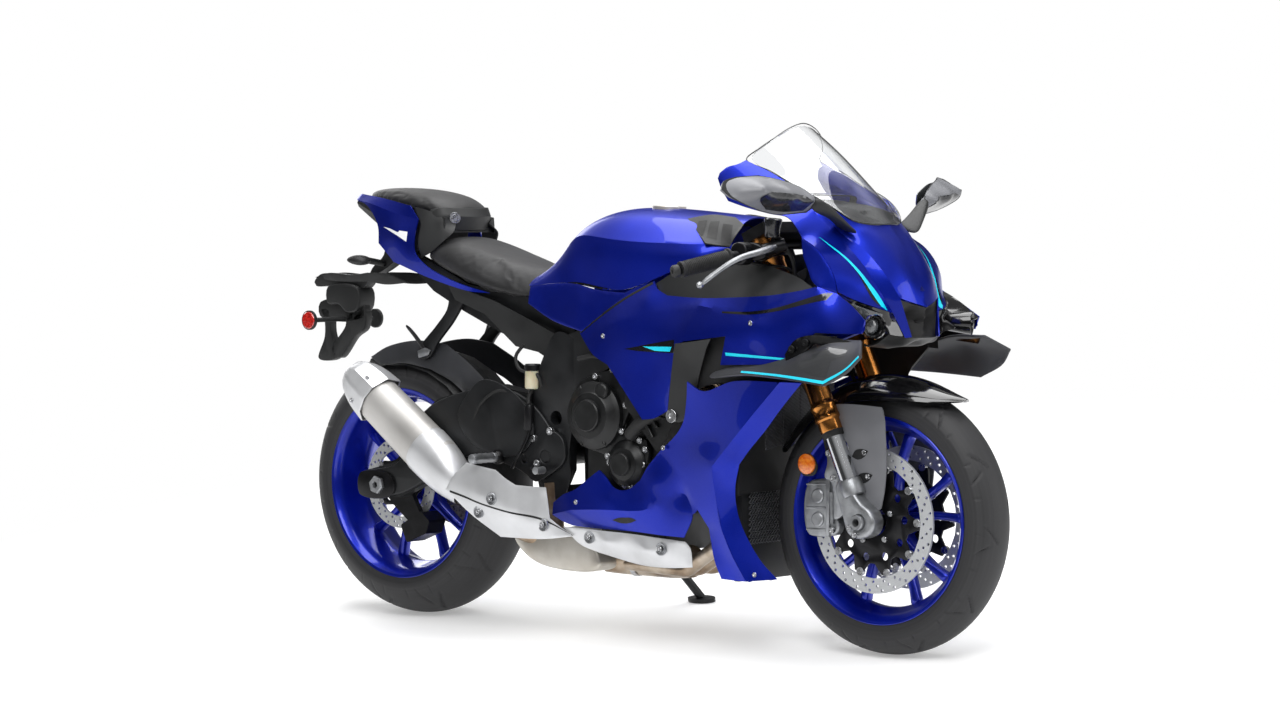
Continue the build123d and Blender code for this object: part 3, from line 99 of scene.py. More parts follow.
def settle(piece):
    """Turns the piece's modifiers into plain mesh."""
    mesh = bpy.data.meshes.new_from_object(piece.evaluated_get(bpy.context.evaluated_depsgraph_get()))
    piece.modifiers.clear()
    piece.data = mesh
    return piece


def modify(piece, kind, **settings):
    """Adds one modifier with its settings."""
    tool = piece.modifiers.new(kind.lower(), kind)
    for key, value in settings.items():
        setattr(tool, key, value)
    return tool


def soften(piece, width=1.0, steps=2, angle=40):
    """Rounds the edges sharper than angle by width in millimetres."""
    modify(piece, "BEVEL", width=width / 1000, segments=steps, limit_method="ANGLE", angle_limit=radians(angle))
    return settle(piece)


def subdivide(piece, levels=2):
    """Smooths the piece by splitting every face levels times."""
    modify(piece, "SUBSURF", levels=levels, render_levels=levels)
    return settle(piece)


def thicken(piece, wall=3.0):
    """Gives a skin a wall, inward from its face."""
    modify(piece, "SOLIDIFY", thickness=wall / 1000, offset=-1.0, use_even_offset=True)
    return settle(piece)


def merge(name, *pieces):
    """One object from several, with their meshes joined."""
    shape = bmesh.new()
    for piece in pieces:
        shape.from_mesh(piece.data)
        bpy.data.objects.remove(piece)
    mesh = bpy.data.meshes.new(name)
    shape.to_mesh(mesh)
    shape.free()
    made = bpy.data.objects.new(name, mesh)
    bpy.context.scene.collection.objects.link(made)
    return made


def mirrored(points, faces):
    """Points and faces with their copies on the other side of the bike."""
    count = len(points)
    copies = [tuple(i + count for i in reversed(f)) for f in faces]
    return list(points) + [(x, -y, z) for x, y, z in points], list(faces) + copies


def dress(piece, finish, stands_for=(), angle=32, body="chassis"):
    """Gives the piece its finish, its shading, its body and the nodes that it stands for."""
    piece.data.materials.clear()
    piece.data.materials.append(finish)
    piece.data.shade_smooth()
    piece.data.set_sharp_from_angle(angle=radians(angle))
    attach(piece, body)
    if stands_for:
        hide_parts(*stands_for)
    return piece


# ---- curves and surfaces ----
def through(points, gap, closed=True):
    """A smooth line through points, about gap apart. A fourth value of 1 marks a corner."""
    spots = [np.array(p[:3], float) for p in points]
    corner = [len(p) > 3 and p[3] == 1 for p in points]
    count = len(spots)
    first = corner.index(True) if closed and True in corner else 0
    order = [(first + k) % count for k in range(count + (1 if closed else 0))]
    line = []
    for k in range(len(order) - 1):
        a, b = order[k], order[k + 1]
        p1, p2 = spots[a], spots[b]
        p0 = spots[a - 1] if (closed or k) and not corner[a] else 2 * p1 - p2
        p3 = spots[(b + 1) % count] if (closed or k + 2 < len(order)) and not corner[b] else 2 * p2 - p1
        reach = [max(np.linalg.norm(q - p) ** 0.5, 1e-3) for p, q in ((p0, p1), (p1, p2), (p2, p3))]
        steps = max(1, int(round(np.linalg.norm(p2 - p1) / gap)))
        m1 = p2 - p1 + reach[1] * ((p1 - p0) / reach[0] - (p2 - p0) / (reach[0] + reach[1]))
        m2 = p2 - p1 + reach[1] * ((p3 - p2) / reach[2] - (p3 - p1) / (reach[1] + reach[2]))
        for s in range(steps):
            t = s / steps
            line.append((2 * t**3 - 3 * t**2 + 1) * p1 + (t**3 - 2 * t**2 + t) * m1
                        + (3 * t**2 - 2 * t**3) * p2 + (t**3 - t**2) * m2)
    if not closed:
        line.append(spots[-1])
    return np.array(line)


def thin_plate(spots, heights):
    """The smoothest height over a plane that passes through every spot."""
    scale = max(np.ptp(spots[:, 0]), np.ptp(spots[:, 1]))
    middle = spots.mean(0)
    near = (spots - middle) / scale
    def bend(a, b):
        r = np.maximum(((a[:, None] - b[None]) ** 2).sum(2), 1e-12)
        return 0.5 * r * np.log(r)
    count = len(near)
    flat = np.hstack([np.ones((count, 1)), near])
    system = np.zeros((count + 3, count + 3))
    system[:count, :count] = bend(near, near) + 1e-7 * np.eye(count)
    system[:count, count:] = flat
    system[count:, :count] = flat.T
    weights = np.linalg.solve(system, np.concatenate([heights, np.zeros(3)]))
    def height(where):
        at = (where - middle) / scale
        return bend(at, near) @ weights[:count] + np.hstack([np.ones((len(at), 1)), at]) @ weights[count:]
    return height


def inside(ring, spots):
    """Which spots lie inside the ring, by crossings."""
    x, y = spots[:, 0], spots[:, 1]
    found = np.zeros(len(spots), bool)
    for a, b in zip(ring, np.roll(ring, -1, 0)):
        crosses = (a[1] > y) != (b[1] > y)
        with np.errstate(divide="ignore", invalid="ignore"):
            found ^= crosses & (x < (b[0] - a[0]) * (y - a[1]) / (b[1] - a[1]) + a[0])
    return found


def filled(rings, spots):
    """Triangles over spots, inside the first ring and outside the others, which come first in spots."""
    edges, start = [], 0
    for ring in rings:
        edges += [(start + k, start + (k + 1) % len(ring)) for k in range(len(ring))]
        start += len(ring)
    found = delaunay_2d_cdt([Vector(s) for s in spots], edges, [], 0, 1e-4)
    where = np.array([tuple(v) for v in found[0]])
    faces = np.array([f for f in found[2] if len(f) == 3])
    middles = where[faces].mean(1)
    keep = inside(rings[0], middles)
    for ring in rings[1:]:
        keep &= ~inside(ring, middles)
    return where, faces[keep]


def patch(loop, crown=(), view=(0, 1, 0), step=9.0, holes=()):
    """A smooth skin inside a loop of points, through the crown points, as a height along view."""
    view = np.array(Vector(view).normalized())
    across = np.array(Vector(view).orthogonal().normalized())
    upward = np.cross(view, across)
    plane = np.stack([across, upward], 1)
    rims = [through(loop, step)] + [through(hole, step * 0.7) for hole in holes]
    anchors = np.vstack(rims + ([np.array([p[:3] for p in crown], float)] if len(crown) else []))
    _, first = np.unique(np.round(anchors @ plane, 1), axis=0, return_index=True)
    anchors = anchors[np.sort(first)]
    height = thin_plate(anchors @ plane, anchors @ view)
    flat = [rim @ plane for rim in rims]
    low, high = flat[0].min(0), flat[0].max(0)
    rows = np.arange(low[1], high[1], step * 0.866)
    grid = np.array([(u + (k % 2) * step / 2, v) for k, v in enumerate(rows)
        for u in np.arange(low[0], high[0], step)])
    keep = inside(flat[0], grid)
    for ring in flat[1:]:
        keep &= ~inside(ring, grid)
    for ring in flat:
        ends = np.roll(ring, -1, 0) - ring
        reach = np.maximum((ends**2).sum(1), 1e-9)
        t = np.clip(((grid[:, None] - ring[None]) * ends[None]).sum(2) / reach, 0, 1)
        keep &= (((grid[:, None] - ring[None] - t[:, :, None] * ends[None]) ** 2).sum(2) ** 0.5).min(1) > step * 0.45
    spots = np.vstack(flat + [grid[keep]])
    where, faces = filled(flat, spots)
    return where @ plane.T + height(where)[:, None] * view, faces


def panel(name, patches, outward, wall=3.0, both=True, edge=0.8):
    """A thin shell from patches that share edges, on one side or mirrored to both.
    outward is a direction that the outside faces."""
    points, faces = [], []
    for spots, rings in patches:
        start = len(points)
        points += [tuple(p) for p in spots]
        out = np.array(outward, float)
        corners = spots[rings]
        lean = np.cross(corners[:, 1] - corners[:, 0], corners[:, 2] - corners[:, 0]).sum(0)
        for ring in rings:
            turned = ring if lean @ out > 0 else ring[::-1]
            faces.append(tuple(int(i) + start for i in turned))
    if both:
        points, faces = mirrored(points, faces)
    made = build(name, points, faces)
    edit(made, lambda shape: bmesh.ops.remove_doubles(shape, verts=shape.verts, dist=3e-4))
    if wall:
        thicken(made, wall)
        if edge:
            soften(made, edge, 2, 55)
    return made


def grid_faces(wide, tall, across=False, along=False):
    """Faces of a grid of points, given row by row. It may close across each row or along the rows."""
    faces = []
    for r in range(tall if along else tall - 1):
        n = (r + 1) % tall
        for c in range(wide if across else wide - 1):
            d = (c + 1) % wide
            faces.append((r * wide + c, r * wide + d, n * wide + d, n * wide + c))
    return faces


def cage(name, rows, both=True, levels=2, closed=False, creases=(), row_creases=(), caps=(False, False)):
    """A subdivided surface over a grid of rows. Columns in creases and rows in row_creases stay sharp."""
    wide = len(rows[0])
    points = [tuple(p) for row in rows for p in row]
    faces = grid_faces(wide, len(rows), closed)
    last = wide if closed else wide - 1
    for end, row in zip(caps, (0, len(rows) - 1)):
        if end:
            ring = tuple(row * wide + c for c in range(wide))
            faces.append(ring if row else ring[::-1])
    pairs = [(r * wide + c, (r + 1) * wide + c) for c in creases for r in range(len(rows) - 1)]
    pairs += [(r * wide + c, r * wide + (c + 1) % wide) for r in row_creases for c in range(last)]
    count = len(points)
    if both:
        points, faces = mirrored(points, faces)
        pairs += [(a + count, b + count) for a, b in pairs]
    made = build(name, points, faces)
    marked = {frozenset(p) for p in pairs}
    def work(shape):
        shape.verts.ensure_lookup_table()
        layer = shape.edges.layers.float.new("crease_edge")
        for line in shape.edges:
            if frozenset((line.verts[0].index, line.verts[1].index)) in marked:
                line[layer] = 1.0
        bmesh.ops.remove_doubles(shape, verts=shape.verts, dist=2e-4)
    edit(made, work)
    return subdivide(made, levels) if levels else made


def slab(name, outline, low, high, width=1.5, steps=2, gap=None, holes=(), both=False):
    """A plate with an x, z outline between two y values, its edges rounded."""
    low, high = sorted((low, high))
    if gap:
        loop = through([(x, 0, z, *more) for x, z, *more in outline], gap)
    else:
        loop = np.array([(p[0], 0, p[1]) for p in outline])
    rings = [loop] + [np.array([(x + r * cos(a), 0, z + r * sin(a))
        for a in np.linspace(0, 2 * pi, 24, endpoint=False)]) for x, z, r in holes]
    rings = [ring[:, [0, 2]] for ring in rings]
    where, faces = filled(rings, np.vstack(rings))
    count = len(where)
    points = [(x, low, z) for x, z in where] + [(x, high, z) for x, z in where]
    sides = {}
    for f in faces:
        for a, b in ((f[0], f[1]), (f[1], f[2]), (f[2], f[0])):
            sides[frozenset((a, b))] = sides.get(frozenset((a, b)), []) + [(a, b)]
    rings = [tuple(f) for f in faces] + [tuple(int(i) + count for i in f[::-1]) for f in faces]
    rings += [(b, a, a + count, b + count) for pair in sides.values() if len(pair) == 1 for a, b in pair]
    if both:
        points, rings = mirrored(points, rings)
    made = face_out(build(name, points, rings))
    modify(made, "DECIMATE", decimate_type="DISSOLVE", angle_limit=0.002)
    settle(made)
    return soften(made, width, steps, 30) if width else made


def lathe(name, profile, centre, along=(0, 1, 0), steps=72, closed=False):
    """Turns a profile of (radius, distance along) about an axle."""
    along = Vector(along).normalized()
    side = along.orthogonal().normalized()
    other = along.cross(side)
    points = []
    for k in range(steps):
        a = 2 * pi * k / steps
        spoke = side * cos(a) + other * sin(a)
        points += [tuple(Vector(centre) + spoke * r + along * d) for r, d in profile]
    made = build(name, points, grid_faces(len(profile), steps, closed, True))
    def work(shape):
        bmesh.ops.remove_doubles(shape, verts=shape.verts, dist=1e-5)
        bmesh.ops.dissolve_degenerate(shape, dist=1e-6, edges=shape.edges)
        bmesh.ops.recalc_face_normals(shape, faces=shape.faces)
    return edit(made, work)


def pipe(name, points, radius, sides=16, gap=6.0, closed=False, smooth=True):
    """A round bar along a smooth line. radius is a number, or one for each given point."""
    line = through(points, gap, closed) if smooth else np.array([p[:3] for p in points], float)
    if isinstance(radius, (int, float)):
        sizes = np.full(len(line), float(radius))
    else:
        marks = [np.linalg.norm(line - np.array(p[:3]), axis=1).argmin() for p in points]
        sizes = np.interp(np.arange(len(line)), marks, radius)
    ahead = np.gradient(line, axis=0) if not closed else np.roll(line, -1, 0) - np.roll(line, 1, 0)
    side = Vector(ahead[0]).orthogonal().normalized()
    spots = []
    for k, (at, way) in enumerate(zip(line, ahead)):
        way = Vector(way).normalized()
        side = (side - way * side.dot(way)).normalized()
        other = way.cross(side)
        for s in range(sides):
            a = 2 * pi * s / sides
            spots.append(tuple(Vector(at) + (side * cos(a) + other * sin(a)) * sizes[k]))
    faces = grid_faces(sides, len(line), True, closed)
    if not closed:
        faces += [tuple(reversed(range(sides))), tuple((len(line) - 1) * sides + s for s in range(sides))]
    return build(name, spots, faces)


# ---- finishes ----
def tone(code):
    """An sRGB hex colour in linear light."""
    parts = [int(code[k:k + 2], 16) / 255 for k in (1, 3, 5)]
    return tuple(p / 12.92 if p <= 0.04045 else ((p + 0.055) / 1.055) ** 2.4 for p in parts) + (1.0,)


def add(tree, kind, inputs=(), **settings):
    """Adds a node, with its settings, and sets or links its inputs."""
    node = tree.nodes.new(kind if "Node" in kind else "ShaderNode" + kind)
    for key, value in settings.items():
        setattr(node, key, value)
    for key, value in dict(inputs).items():
        if isinstance(value, bpy.types.NodeSocket):
            tree.links.new(value, node.inputs[key])
        else:
            node.inputs[key].default_value = value
    return node


def new_finish(name, **sockets):
    """A material with one shader, whose steady values are set on its own sockets."""
    finish = bpy.data.materials.new(name)
    finish.use_nodes = True
    tree = finish.node_tree
    tree.nodes.clear()
    shader = add(tree, "BsdfPrincipled", {k.replace("_", " "): v for k, v in sockets.items()})
    add(tree, "OutputMaterial", {"Surface": shader.outputs[0]})
    return finish, tree, shader


def millimetres(tree, centre=None):
    """Object coordinates in bike axes, in metres, about a centre given in millimetres."""
    spot = add(tree, "TexCoord").outputs["Object"]
    if centre is None:
        return spot
    turned = LEAN.to_euler()
    return add(tree, "Mapping", {"Vector": spot, "Location": BIKE @ Vector(centre), "Rotation": turned},
               vector_type="TEXTURE").outputs[0]


def blend(tree, value, low, high, places, shader):
    """The shader's colour, between two hex colours at two places of a value."""
    mix = add(tree, "ValToRGB", {"Fac": value})
    for stop, place, code in zip(mix.color_ramp.elements, places, (low, high)):
        stop.position, stop.color = place, tone(code)
    tree.links.new(mix.outputs[0], shader.inputs["Base Color"])


def emboss(tree, height, depth, shader, strength=1.0):
    """Relief of a depth in mm on the shader."""
    relief = add(tree, "Bump", {"Height": height, "Strength": strength, "Distance": depth / 1000})
    tree.links.new(relief.outputs[0], shader.inputs["Normal"])


def mottled(name, low, high, patch, rough, grain, depth, stretch=(1, 1, 1), kind="NoiseTexture", **sockets):
    """A finish whose tone drifts between two colours over patch mm, with roughness to match
    and a surface grain of a given size and depth in mm."""
    finish, tree, shader = new_finish(name, **sockets)
    spot = millimetres(tree)
    drift = add(tree, "TexNoise", {"Vector": spot, "Scale": 1000 / patch, "Detail": 4.0})
    blend(tree, drift.outputs[0], low, high, (0.35, 0.65), shader)
    spread = add(tree, "MapRange", {"Value": drift.outputs[0], "From Min": 0.3, "From Max": 0.7,
        "To Min": rough[0], "To Max": rough[1]})
    tree.links.new(spread.outputs[0], shader.inputs["Roughness"])
    scaled = add(tree, "Mapping", {"Vector": spot, "Rotation": LEAN.to_euler(), "Scale": stretch},
        vector_type="POINT").outputs[0]
    if kind == "Voronoi":
        fine = add(tree, "TexVoronoi", {"Vector": scaled, "Scale": 1000 / grain}, feature="SMOOTH_F1")
    else:
        fine = add(tree, "TexNoise", {"Vector": scaled, "Scale": 1000 / grain, "Detail": 3.0})
    emboss(tree, fine.outputs[0], depth, shader)
    return finish


# Blue basecoat with a fine flake under clear lacquer, on moulded ABS: deep colour, sharp highlights.
body_blue = mottled("body_basecoat_and_lacquer", "#021A90", "#0321A6", 260, (0.34, 0.4), 3.5, 0.004,
    Coat_Weight=0.28, Coat_Roughness=0.02)
tree = body_blue.node_tree
flake = add(tree, "TexVoronoi", {"Vector": millimetres(tree), "Scale": 1000 / 1.1})
glint = add(tree, "MapRange", {"Value": flake.outputs["Color"], "From Min": 0.6, "From Max": 1.0, "To Min": 0.78,
    "To Max": 0.95})
tree.links.new(glint.outputs[0], tree.nodes["Principled BSDF"].inputs["Metallic"])

# Blue powder coat baked on cast aluminium wheels: even colour, softer gloss, faint cast texture.
wheel_blue = mottled("wheel_powder_coat", "#031B98", "#0422AE", 90, (0.3, 0.38), 2.2, 0.02, Coat_Weight=0.6,
    Coat_Roughness=0.08, Metallic=0.7)

# Spark-eroded black ABS mouldings: matt, charcoal, with a fine even grain.
moulded_black = mottled("moulded_abs_grained", "#121314", "#1A1B1C", 120, (0.5, 0.62), 0.9, 0.05, kind="Voronoi")

# Satin black ABS from a spark-eroded mould, coloured mid grey: a painted sheen that stands for the broad pale light
# on its open faces.
abs_with_painted_sheen = mottled("moulded_abs_painted_sheen", "#66676B", "#727377", 120, (0.34, 0.42), 0.9, 0.03)

# Darker satin ABS on the winglets and the hugger.
vane_plastic = mottled("moulded_abs_vane", "#2A2B2E", "#343539", 120, (0.38, 0.46), 0.9, 0.03)

# Smoked polycarbonate over a signal lamp: nearly black, with a hard gloss.
smoked_lens = mottled("smoked_polycarbonate", "#1C1D20", "#2A2B2E", 9, (0.14, 0.2), 5.0, 0.1, Coat_Weight=0.3,
    Coat_Roughness=0.03)

# Gloss black ABS straight from a polished mould.
gloss_black = mottled("moulded_abs_polished", "#050506", "#0A0A0C", 200, (0.08, 0.14), 6.0, 0.006,
    Coat_Weight=0.5, Coat_Roughness=0.03)

# Satin black paint on the die-cast aluminium frame: slightly metallic grey, with a soft cast skin.
frame_paint = mottled("frame_satin_paint", "#151618", "#1F2022", 60, (0.36, 0.48), 1.6, 0.05, Metallic=0.35)

# Heat-proof enamel on cast engine covers: darker, a little coarser.
engine_enamel = mottled("engine_enamel", "#0C0D0E", "#161718", 30, (0.34, 0.5), 1.2, 0.06, Metallic=0.25)

# Black parts behind the panels: hoses, brackets, ducts, darkened as painted shade; also laid as painted shade in
# slots and openings.
black_parts_and_painted_shade = mottled("duct_black_rubberised_and_painted_shade", "#0B0B0C", "#141415", 40, (0.6, 0.75), 1.5, 0.08)

# Bead-blasted titanium sleeve, brushed along its length.
titanium = mottled("silencer_titanium_brushed", "#B4B2AF", "#C6C4C1", 120, (0.4, 0.48), 1.4, 0.012,
    stretch=(0.05, 1, 0.35), Metallic=0.55)

# Stamped aluminium shields with a matt clear anodise.
shield_alloy = mottled("shield_matt_anodise", "#C6C7C9", "#D4D5D7", 80, (0.34, 0.42), 0.8, 0.01, Metallic=0.6)

# Machined and cast silver parts: axle brackets, levers, footrests.
cast_silver = mottled("cast_alloy_silver", "#8E9093", "#A6A8AB", 18, (0.34, 0.46), 0.9, 0.03, Metallic=0.85)

# Zinc-plated screws and nuts.
zinc = mottled("zinc_plated_steel", "#A9AAAD", "#C9CACC", 8, (0.22, 0.34), 0.6, 0.01, Metallic=1.0)

# Hard chrome on the inner fork tubes: a near mirror with faint wipe marks.
chrome = mottled("hard_chrome", "#C9CBCF", "#DCDEE1", 70, (0.05, 0.1), 1.0, 0.002, stretch=(1, 1, 0.1),
    Metallic=1.0)

# Gold anodised aluminium fork tubes, turned: copper-gold with fine rings.
gold = mottled("fork_gold_anodise", "#B9783A", "#CC8C4C", 150, (0.2, 0.28), 1.0, 0.006, stretch=(0.1, 0.1, 1),
    Metallic=1.0)

# Stainless exhaust tubes, tinted straw to bronze by heat.
hot_steel = mottled("pipe_heat_tint", "#6A5848", "#BDB0A0", 90, (0.26, 0.36), 1.2, 0.008, Metallic=0.85)
ramp = next(n for n in hot_steel.node_tree.nodes if n.type == "VALTORGB").color_ramp
ramp.elements.new(0.5).color = tone("#96836E")

# Brushed stainless collector box, with a grey-straw cast.
box_steel = mottled("collector_stainless", "#B8B2A8", "#CCC8C0", 70, (0.32, 0.42), 1.1, 0.015,
    stretch=(0.08, 1, 1), Metallic=0.6)

# Black-anodised carriers and small fittings.
black_anodise = mottled("black_anodise", "#0E0E10", "#17171A", 25, (0.32, 0.42), 0.8, 0.01, Metallic=0.5)

# Grip rubber and hoses.
grip_rubber = mottled("grip_rubber", "#131314", "#1B1B1C", 20, (0.6, 0.75), 2.2, 0.25, kind="Voronoi")

# Grained vinyl seat cover.
seat_vinyl = mottled("seat_vinyl_grained", "#0D0D0F", "#131315", 70, (0.5, 0.62), 1.6, 0.12, kind="Voronoi",
    Sheen_Weight=0.08, Sheen_Roughness=0.5)

# Cyan vinyl trim film.
cyan_film = mottled("trim_film_cyan", "#12C2DE", "#1FD2EA", 100, (0.18, 0.26), 4.0, 0.004, Coat_Weight=0.6)

# White vinyl trim film.
white_film = mottled("trim_film_white", "#E4E5E8", "#EEEFF1", 100, (0.2, 0.28), 4.0, 0.004, Coat_Weight=0.6)

# Thin aluminium cooler fins, painted grey-black.
fin_alloy = mottled("cooler_fin_alloy", "#5C5D60", "#6C6D70", 12, (0.4, 0.5), 0.8, 0.02, Metallic=0.5)

# Black trim film, on the seams and the black flash; also laid as painted shade beside the cowl stripe and under the
# fairing lip.
black_trim_and_painted_shade = mottled("trim_film_black_and_painted_shade", "#06060A", "#0C0C12", 100, (0.14, 0.2), 4.0, 0.004, Coat_Weight=0.6)

# Clear polycarbonate screen.
clear_screen = mottled("screen_polycarbonate", "#F2F4F6", "#F8F9FA", 400, (0.0, 0.02), 60, 0.002,
    Transmission_Weight=1.0, IOR=1.45)

# Smoked lamp lens over reflectors.
lamp_lens = mottled("lamp_lens_smoked", "#55585C", "#6E7276", 14, (0.05, 0.12), 3.0, 0.1, kind="Voronoi",
    Transmission_Weight=0.45, Coat_Weight=1.0, Coat_Roughness=0.02)

# Prismatic amber and red reflectors.
amber_lens = mottled("reflector_amber", "#D9600B", "#F08A20", 7, (0.08, 0.16), 3.2, 0.6, kind="Voronoi",
    Transmission_Weight=0.2, Coat_Weight=1.0)
red_lens = mottled("reflector_red", "#A80F0A", "#D6281C", 7, (0.08, 0.16), 3.2, 0.6, kind="Voronoi",
    Transmission_Weight=0.2, Coat_Weight=1.0)

# Silvered mirror glass.
mirror_glass = mottled("mirror_glass", "#D5D8DB", "#DEE1E4", 300, (0.01, 0.02), 80, 0.001, Metallic=1.0)

# Natural brake-fluid reservoir: cloudy, slightly yellow.
cloudy_tank = mottled("reservoir_nylon", "#CFC4A4", "#DDD4B8", 30, (0.3, 0.4), 1.5, 0.02,
    Transmission_Weight=0.25, Subsurface_Weight=0.2)

# Greased chain steel.
chain_steel = mottled("chain_steel_oiled", "#5B564B", "#8A8473", 9, (0.25, 0.42), 1.0, 0.02, Metallic=1.0)


def turned_metal(name, low, high, centre, ring, depth, rough, **sockets):
    """Metal turned or ground about a wheel's axle, with fine rings a given distance apart in mm."""
    finish, tree, shader = new_finish(name, **sockets)
    spot = millimetres(tree, centre)
    flat = add(tree, "VectorMath", {0: spot, 1: (1.0, 0.0, 1.0)}, operation="MULTIPLY")
    reach = add(tree, "VectorMath", {0: flat.outputs[0]}, operation="LENGTH")
    rings = add(tree, "TexNoise", {"W": reach.outputs["Value"], "Scale": 1000 / ring, "Detail": 2.0},
        noise_dimensions="1D")
    blend(tree, rings.outputs[0], low, high, (0.3, 0.7), shader)
    spread = add(tree, "MapRange", {"Value": rings.outputs[0], "To Min": rough[0], "To Max": rough[1]})
    tree.links.new(spread.outputs[0], shader.inputs["Roughness"])
    emboss(tree, rings.outputs[0], depth, shader)
    return finish


# Ground stainless brake discs: bright, with the pads' rings.
front_disc_steel = turned_metal("front_disc_ground_steel", "#C2C4C6", "#D0D2D4", FRONT_HUB, 1.6, 0.004,
    (0.34, 0.42), Metallic=0.6)
rear_disc_steel = turned_metal("rear_disc_ground_steel", "#B8BABC", "#C8CACC", REAR_HUB, 1.6, 0.004, (0.34, 0.42),
    Metallic=0.6)
# Cured tyre rubber: sidewall rings from the mould, matt charcoal.
front_rubber = turned_metal("front_tyre_rubber", "#1E1E20", "#28282A", FRONT_HUB, 5.0, 0.12, (0.55, 0.7))
rear_rubber = turned_metal("rear_tyre_rubber", "#1E1E20", "#28282A", REAR_HUB, 5.0, 0.12, (0.55, 0.7))


TOW = 5.0                              # mm between tows


def woven_carbon():
    """Lacquered carbon twill: 3 mm tows, drawn at 5 mm so that the weave shows."""
    finish, tree, shader = new_finish("carbon_twill_lacquered", Coat_Weight=1.0, Coat_Roughness=0.03, Roughness=0.35)
    tows = add(tree, "VectorMath", {0: millimetres(tree), 1: (1000 / TOW,) * 3}, operation="MULTIPLY")
    along, _, up = add(tree, "SeparateXYZ", {0: tows.outputs[0]}).outputs
    over = []
    for way in ("ADD", "SUBTRACT"):
        run = add(tree, "Math", {0: along, 1: up}, operation=way)
        part = add(tree, "Math", {0: run.outputs[0]}, operation="FRACT")
        over.append(add(tree, "Math", {0: part.outputs[0], 1: 0.5}, operation="GREATER_THAN").outputs[0])
    apart = add(tree, "Math", {0: over[0], 1: over[1]}, operation="SUBTRACT")
    weave = add(tree, "Math", {0: apart.outputs[0]}, operation="ABSOLUTE").outputs[0]
    blend(tree, weave, "#101113", "#2C2E31", (0.0, 1.0), shader)
    emboss(tree, weave, 0.1, shader, 0.4)
    return finish


carbon = woven_carbon()


def skin(name, loop, crown, view, finish, stands_for=(), step=9, wall=3, outward=None, both=True, angle=32,
         body="chassis"):
    """A dressed panel from a single patch, which faces along its view unless outward says otherwise."""
    made = panel(name, [patch(loop, crown, view, step)], outward or view, wall, both)
    return dress(made, finish, stands_for, angle, body=body)


# ---- front body ----
# Lines shared by neighbouring panels, right side, x y z in mm. A fourth 1 marks a corner.
SCREEN_SIDE = [(1103, -139, 1093), (1170, -138, 1066), (1236, -134, 1033), (1301, -128, 1002)]
BLADE_INNER = [(1322, -126, 962), (1350, -117, 932), (1398, -103, 899), (1450, -88, 840)]
BLADE_OUTER = [(1462, -78, 757), (1438, -100, 812), (1404, -117, 869), (1361, -129, 916), (1325, -139, 950)]
FLANK_LOW = [(1466, -106, 764), (1451, -140, 774), (1426, -168, 787)]
PARTING = [(1393, -200, 839), (1372, -203, 874), (1343, -203, 902)]


def corner(x, y, z):
    """A point where a loop has a corner."""
    return x, y, z, 1


def upright(y, points):
    """A loop of x z points in one upright plane. A third 1 marks a corner."""
    return [(x, y, z, *mark) for x, z, *mark in points]


hood = patch([corner(1395, 0, 949), (1428, 0, 909), (1456, 0, 866), (1481, 0, 818), corner(1498, 0, 770),
    (1489, -36, 779), corner(1477, -72, 790), *BLADE_INNER[::-1], corner(1301, -128, 1002), (1339, -114, 977),
    (1361, -92, 958), (1383, -55, 949)], [(1452, -52, 869), (1416, -60, 913), (1479, -36, 820), (1380, -92, 935)],
    (1, 0, 0.7))
blade = patch([corner(1301, -128, 1002), *BLADE_INNER, corner(1477, -72, 790), (1486, -62, 747),
    corner(1495, -53, 705), corner(1482, -60, 703), *BLADE_OUTER, corner(1290, -143, 985)], [], (0.8, -0.6, 0.4), 6)
brow = patch([corner(1290, -143, 985), corner(1301, -128, 1002), *SCREEN_SIDE[:0:-1][1:], corner(1103, -139, 1093),
    (1095, -158, 1084), (1075, -172, 1077), corner(1064, -184, 1064), corner(1062, -188, 1052), (1140, -182, 1028),
    (1220, -165, 1005)], [(1180, -160, 1042)], (0.2, -0.6, 1), 7)
flank = patch([corner(1062, -188, 1052), (1140, -182, 1028), (1220, -165, 1005), corner(1290, -143, 985),
    *BLADE_OUTER[::-1][:-1], corner(1462, -78, 757), *FLANK_LOW, corner(1401, -196, 804), *PARTING,
    corner(1308, -201, 921), (1288, -199, 947), (1264, -197, 967), (1215, -196, 975), (1145, -195, 989),
    corner(1096, -194, 1002), (1074, -191, 1030)], [(1372, -154, 892), (1425, -140, 826), (1345, -176, 905),
    (1240, -184, 985)], (0.35, -1, 0.3))
cowl = panel("front_cowl_skin", [hood, blade, brow, flank], (1, -0.6, 0.6), 3.0)
dress(cowl, body_blue, ["front_cowl"], 26)


def surface_of(host):
    """A piece's faces as a tree that rays can be cast at."""
    return BVHTree.FromPolygons([v.co.copy() for v in host.data.vertices],
        [tuple(p.vertices) for p in host.data.polygons])


def pinned(host, spots, toward=RIGHT, lift=1.0):
    """Places on a host piece straight under a list of points, as seen along a direction."""
    tree, way = surface_of(host), (LEAN.to_3x3() @ Vector(toward)).normalized()
    found = []
    for spot in spots:
        hit, _, _, _ = tree.ray_cast(BIKE @ Vector(spot) + way * 0.3, -way, 0.7)
        hit = BIKE @ Vector(spot) if hit is None else hit + way * (lift / 1000)
        found.append(tuple(BIKE.inverted() @ hit))
    return found


def planted(name, values):
    """A geometry node tree with a cloud of points and named values as inputs."""
    tree = bpy.data.node_groups.new(name + "_tree", "GeometryNodeTree")
    tree.interface.new_socket("Cloud", in_out="INPUT", socket_type="NodeSocketGeometry")
    wanted = {}
    for label, value in values.items():
        kind = "NodeSocketVector" if isinstance(value, tuple) else "NodeSocketFloat"
        wanted[tree.interface.new_socket(label, in_out="INPUT", socket_type=kind).identifier] = value
    tree.interface.new_socket("Geometry", in_out="OUTPUT", socket_type="NodeSocketGeometry")
    return tree, add(tree, "NodeGroupInput").outputs, wanted


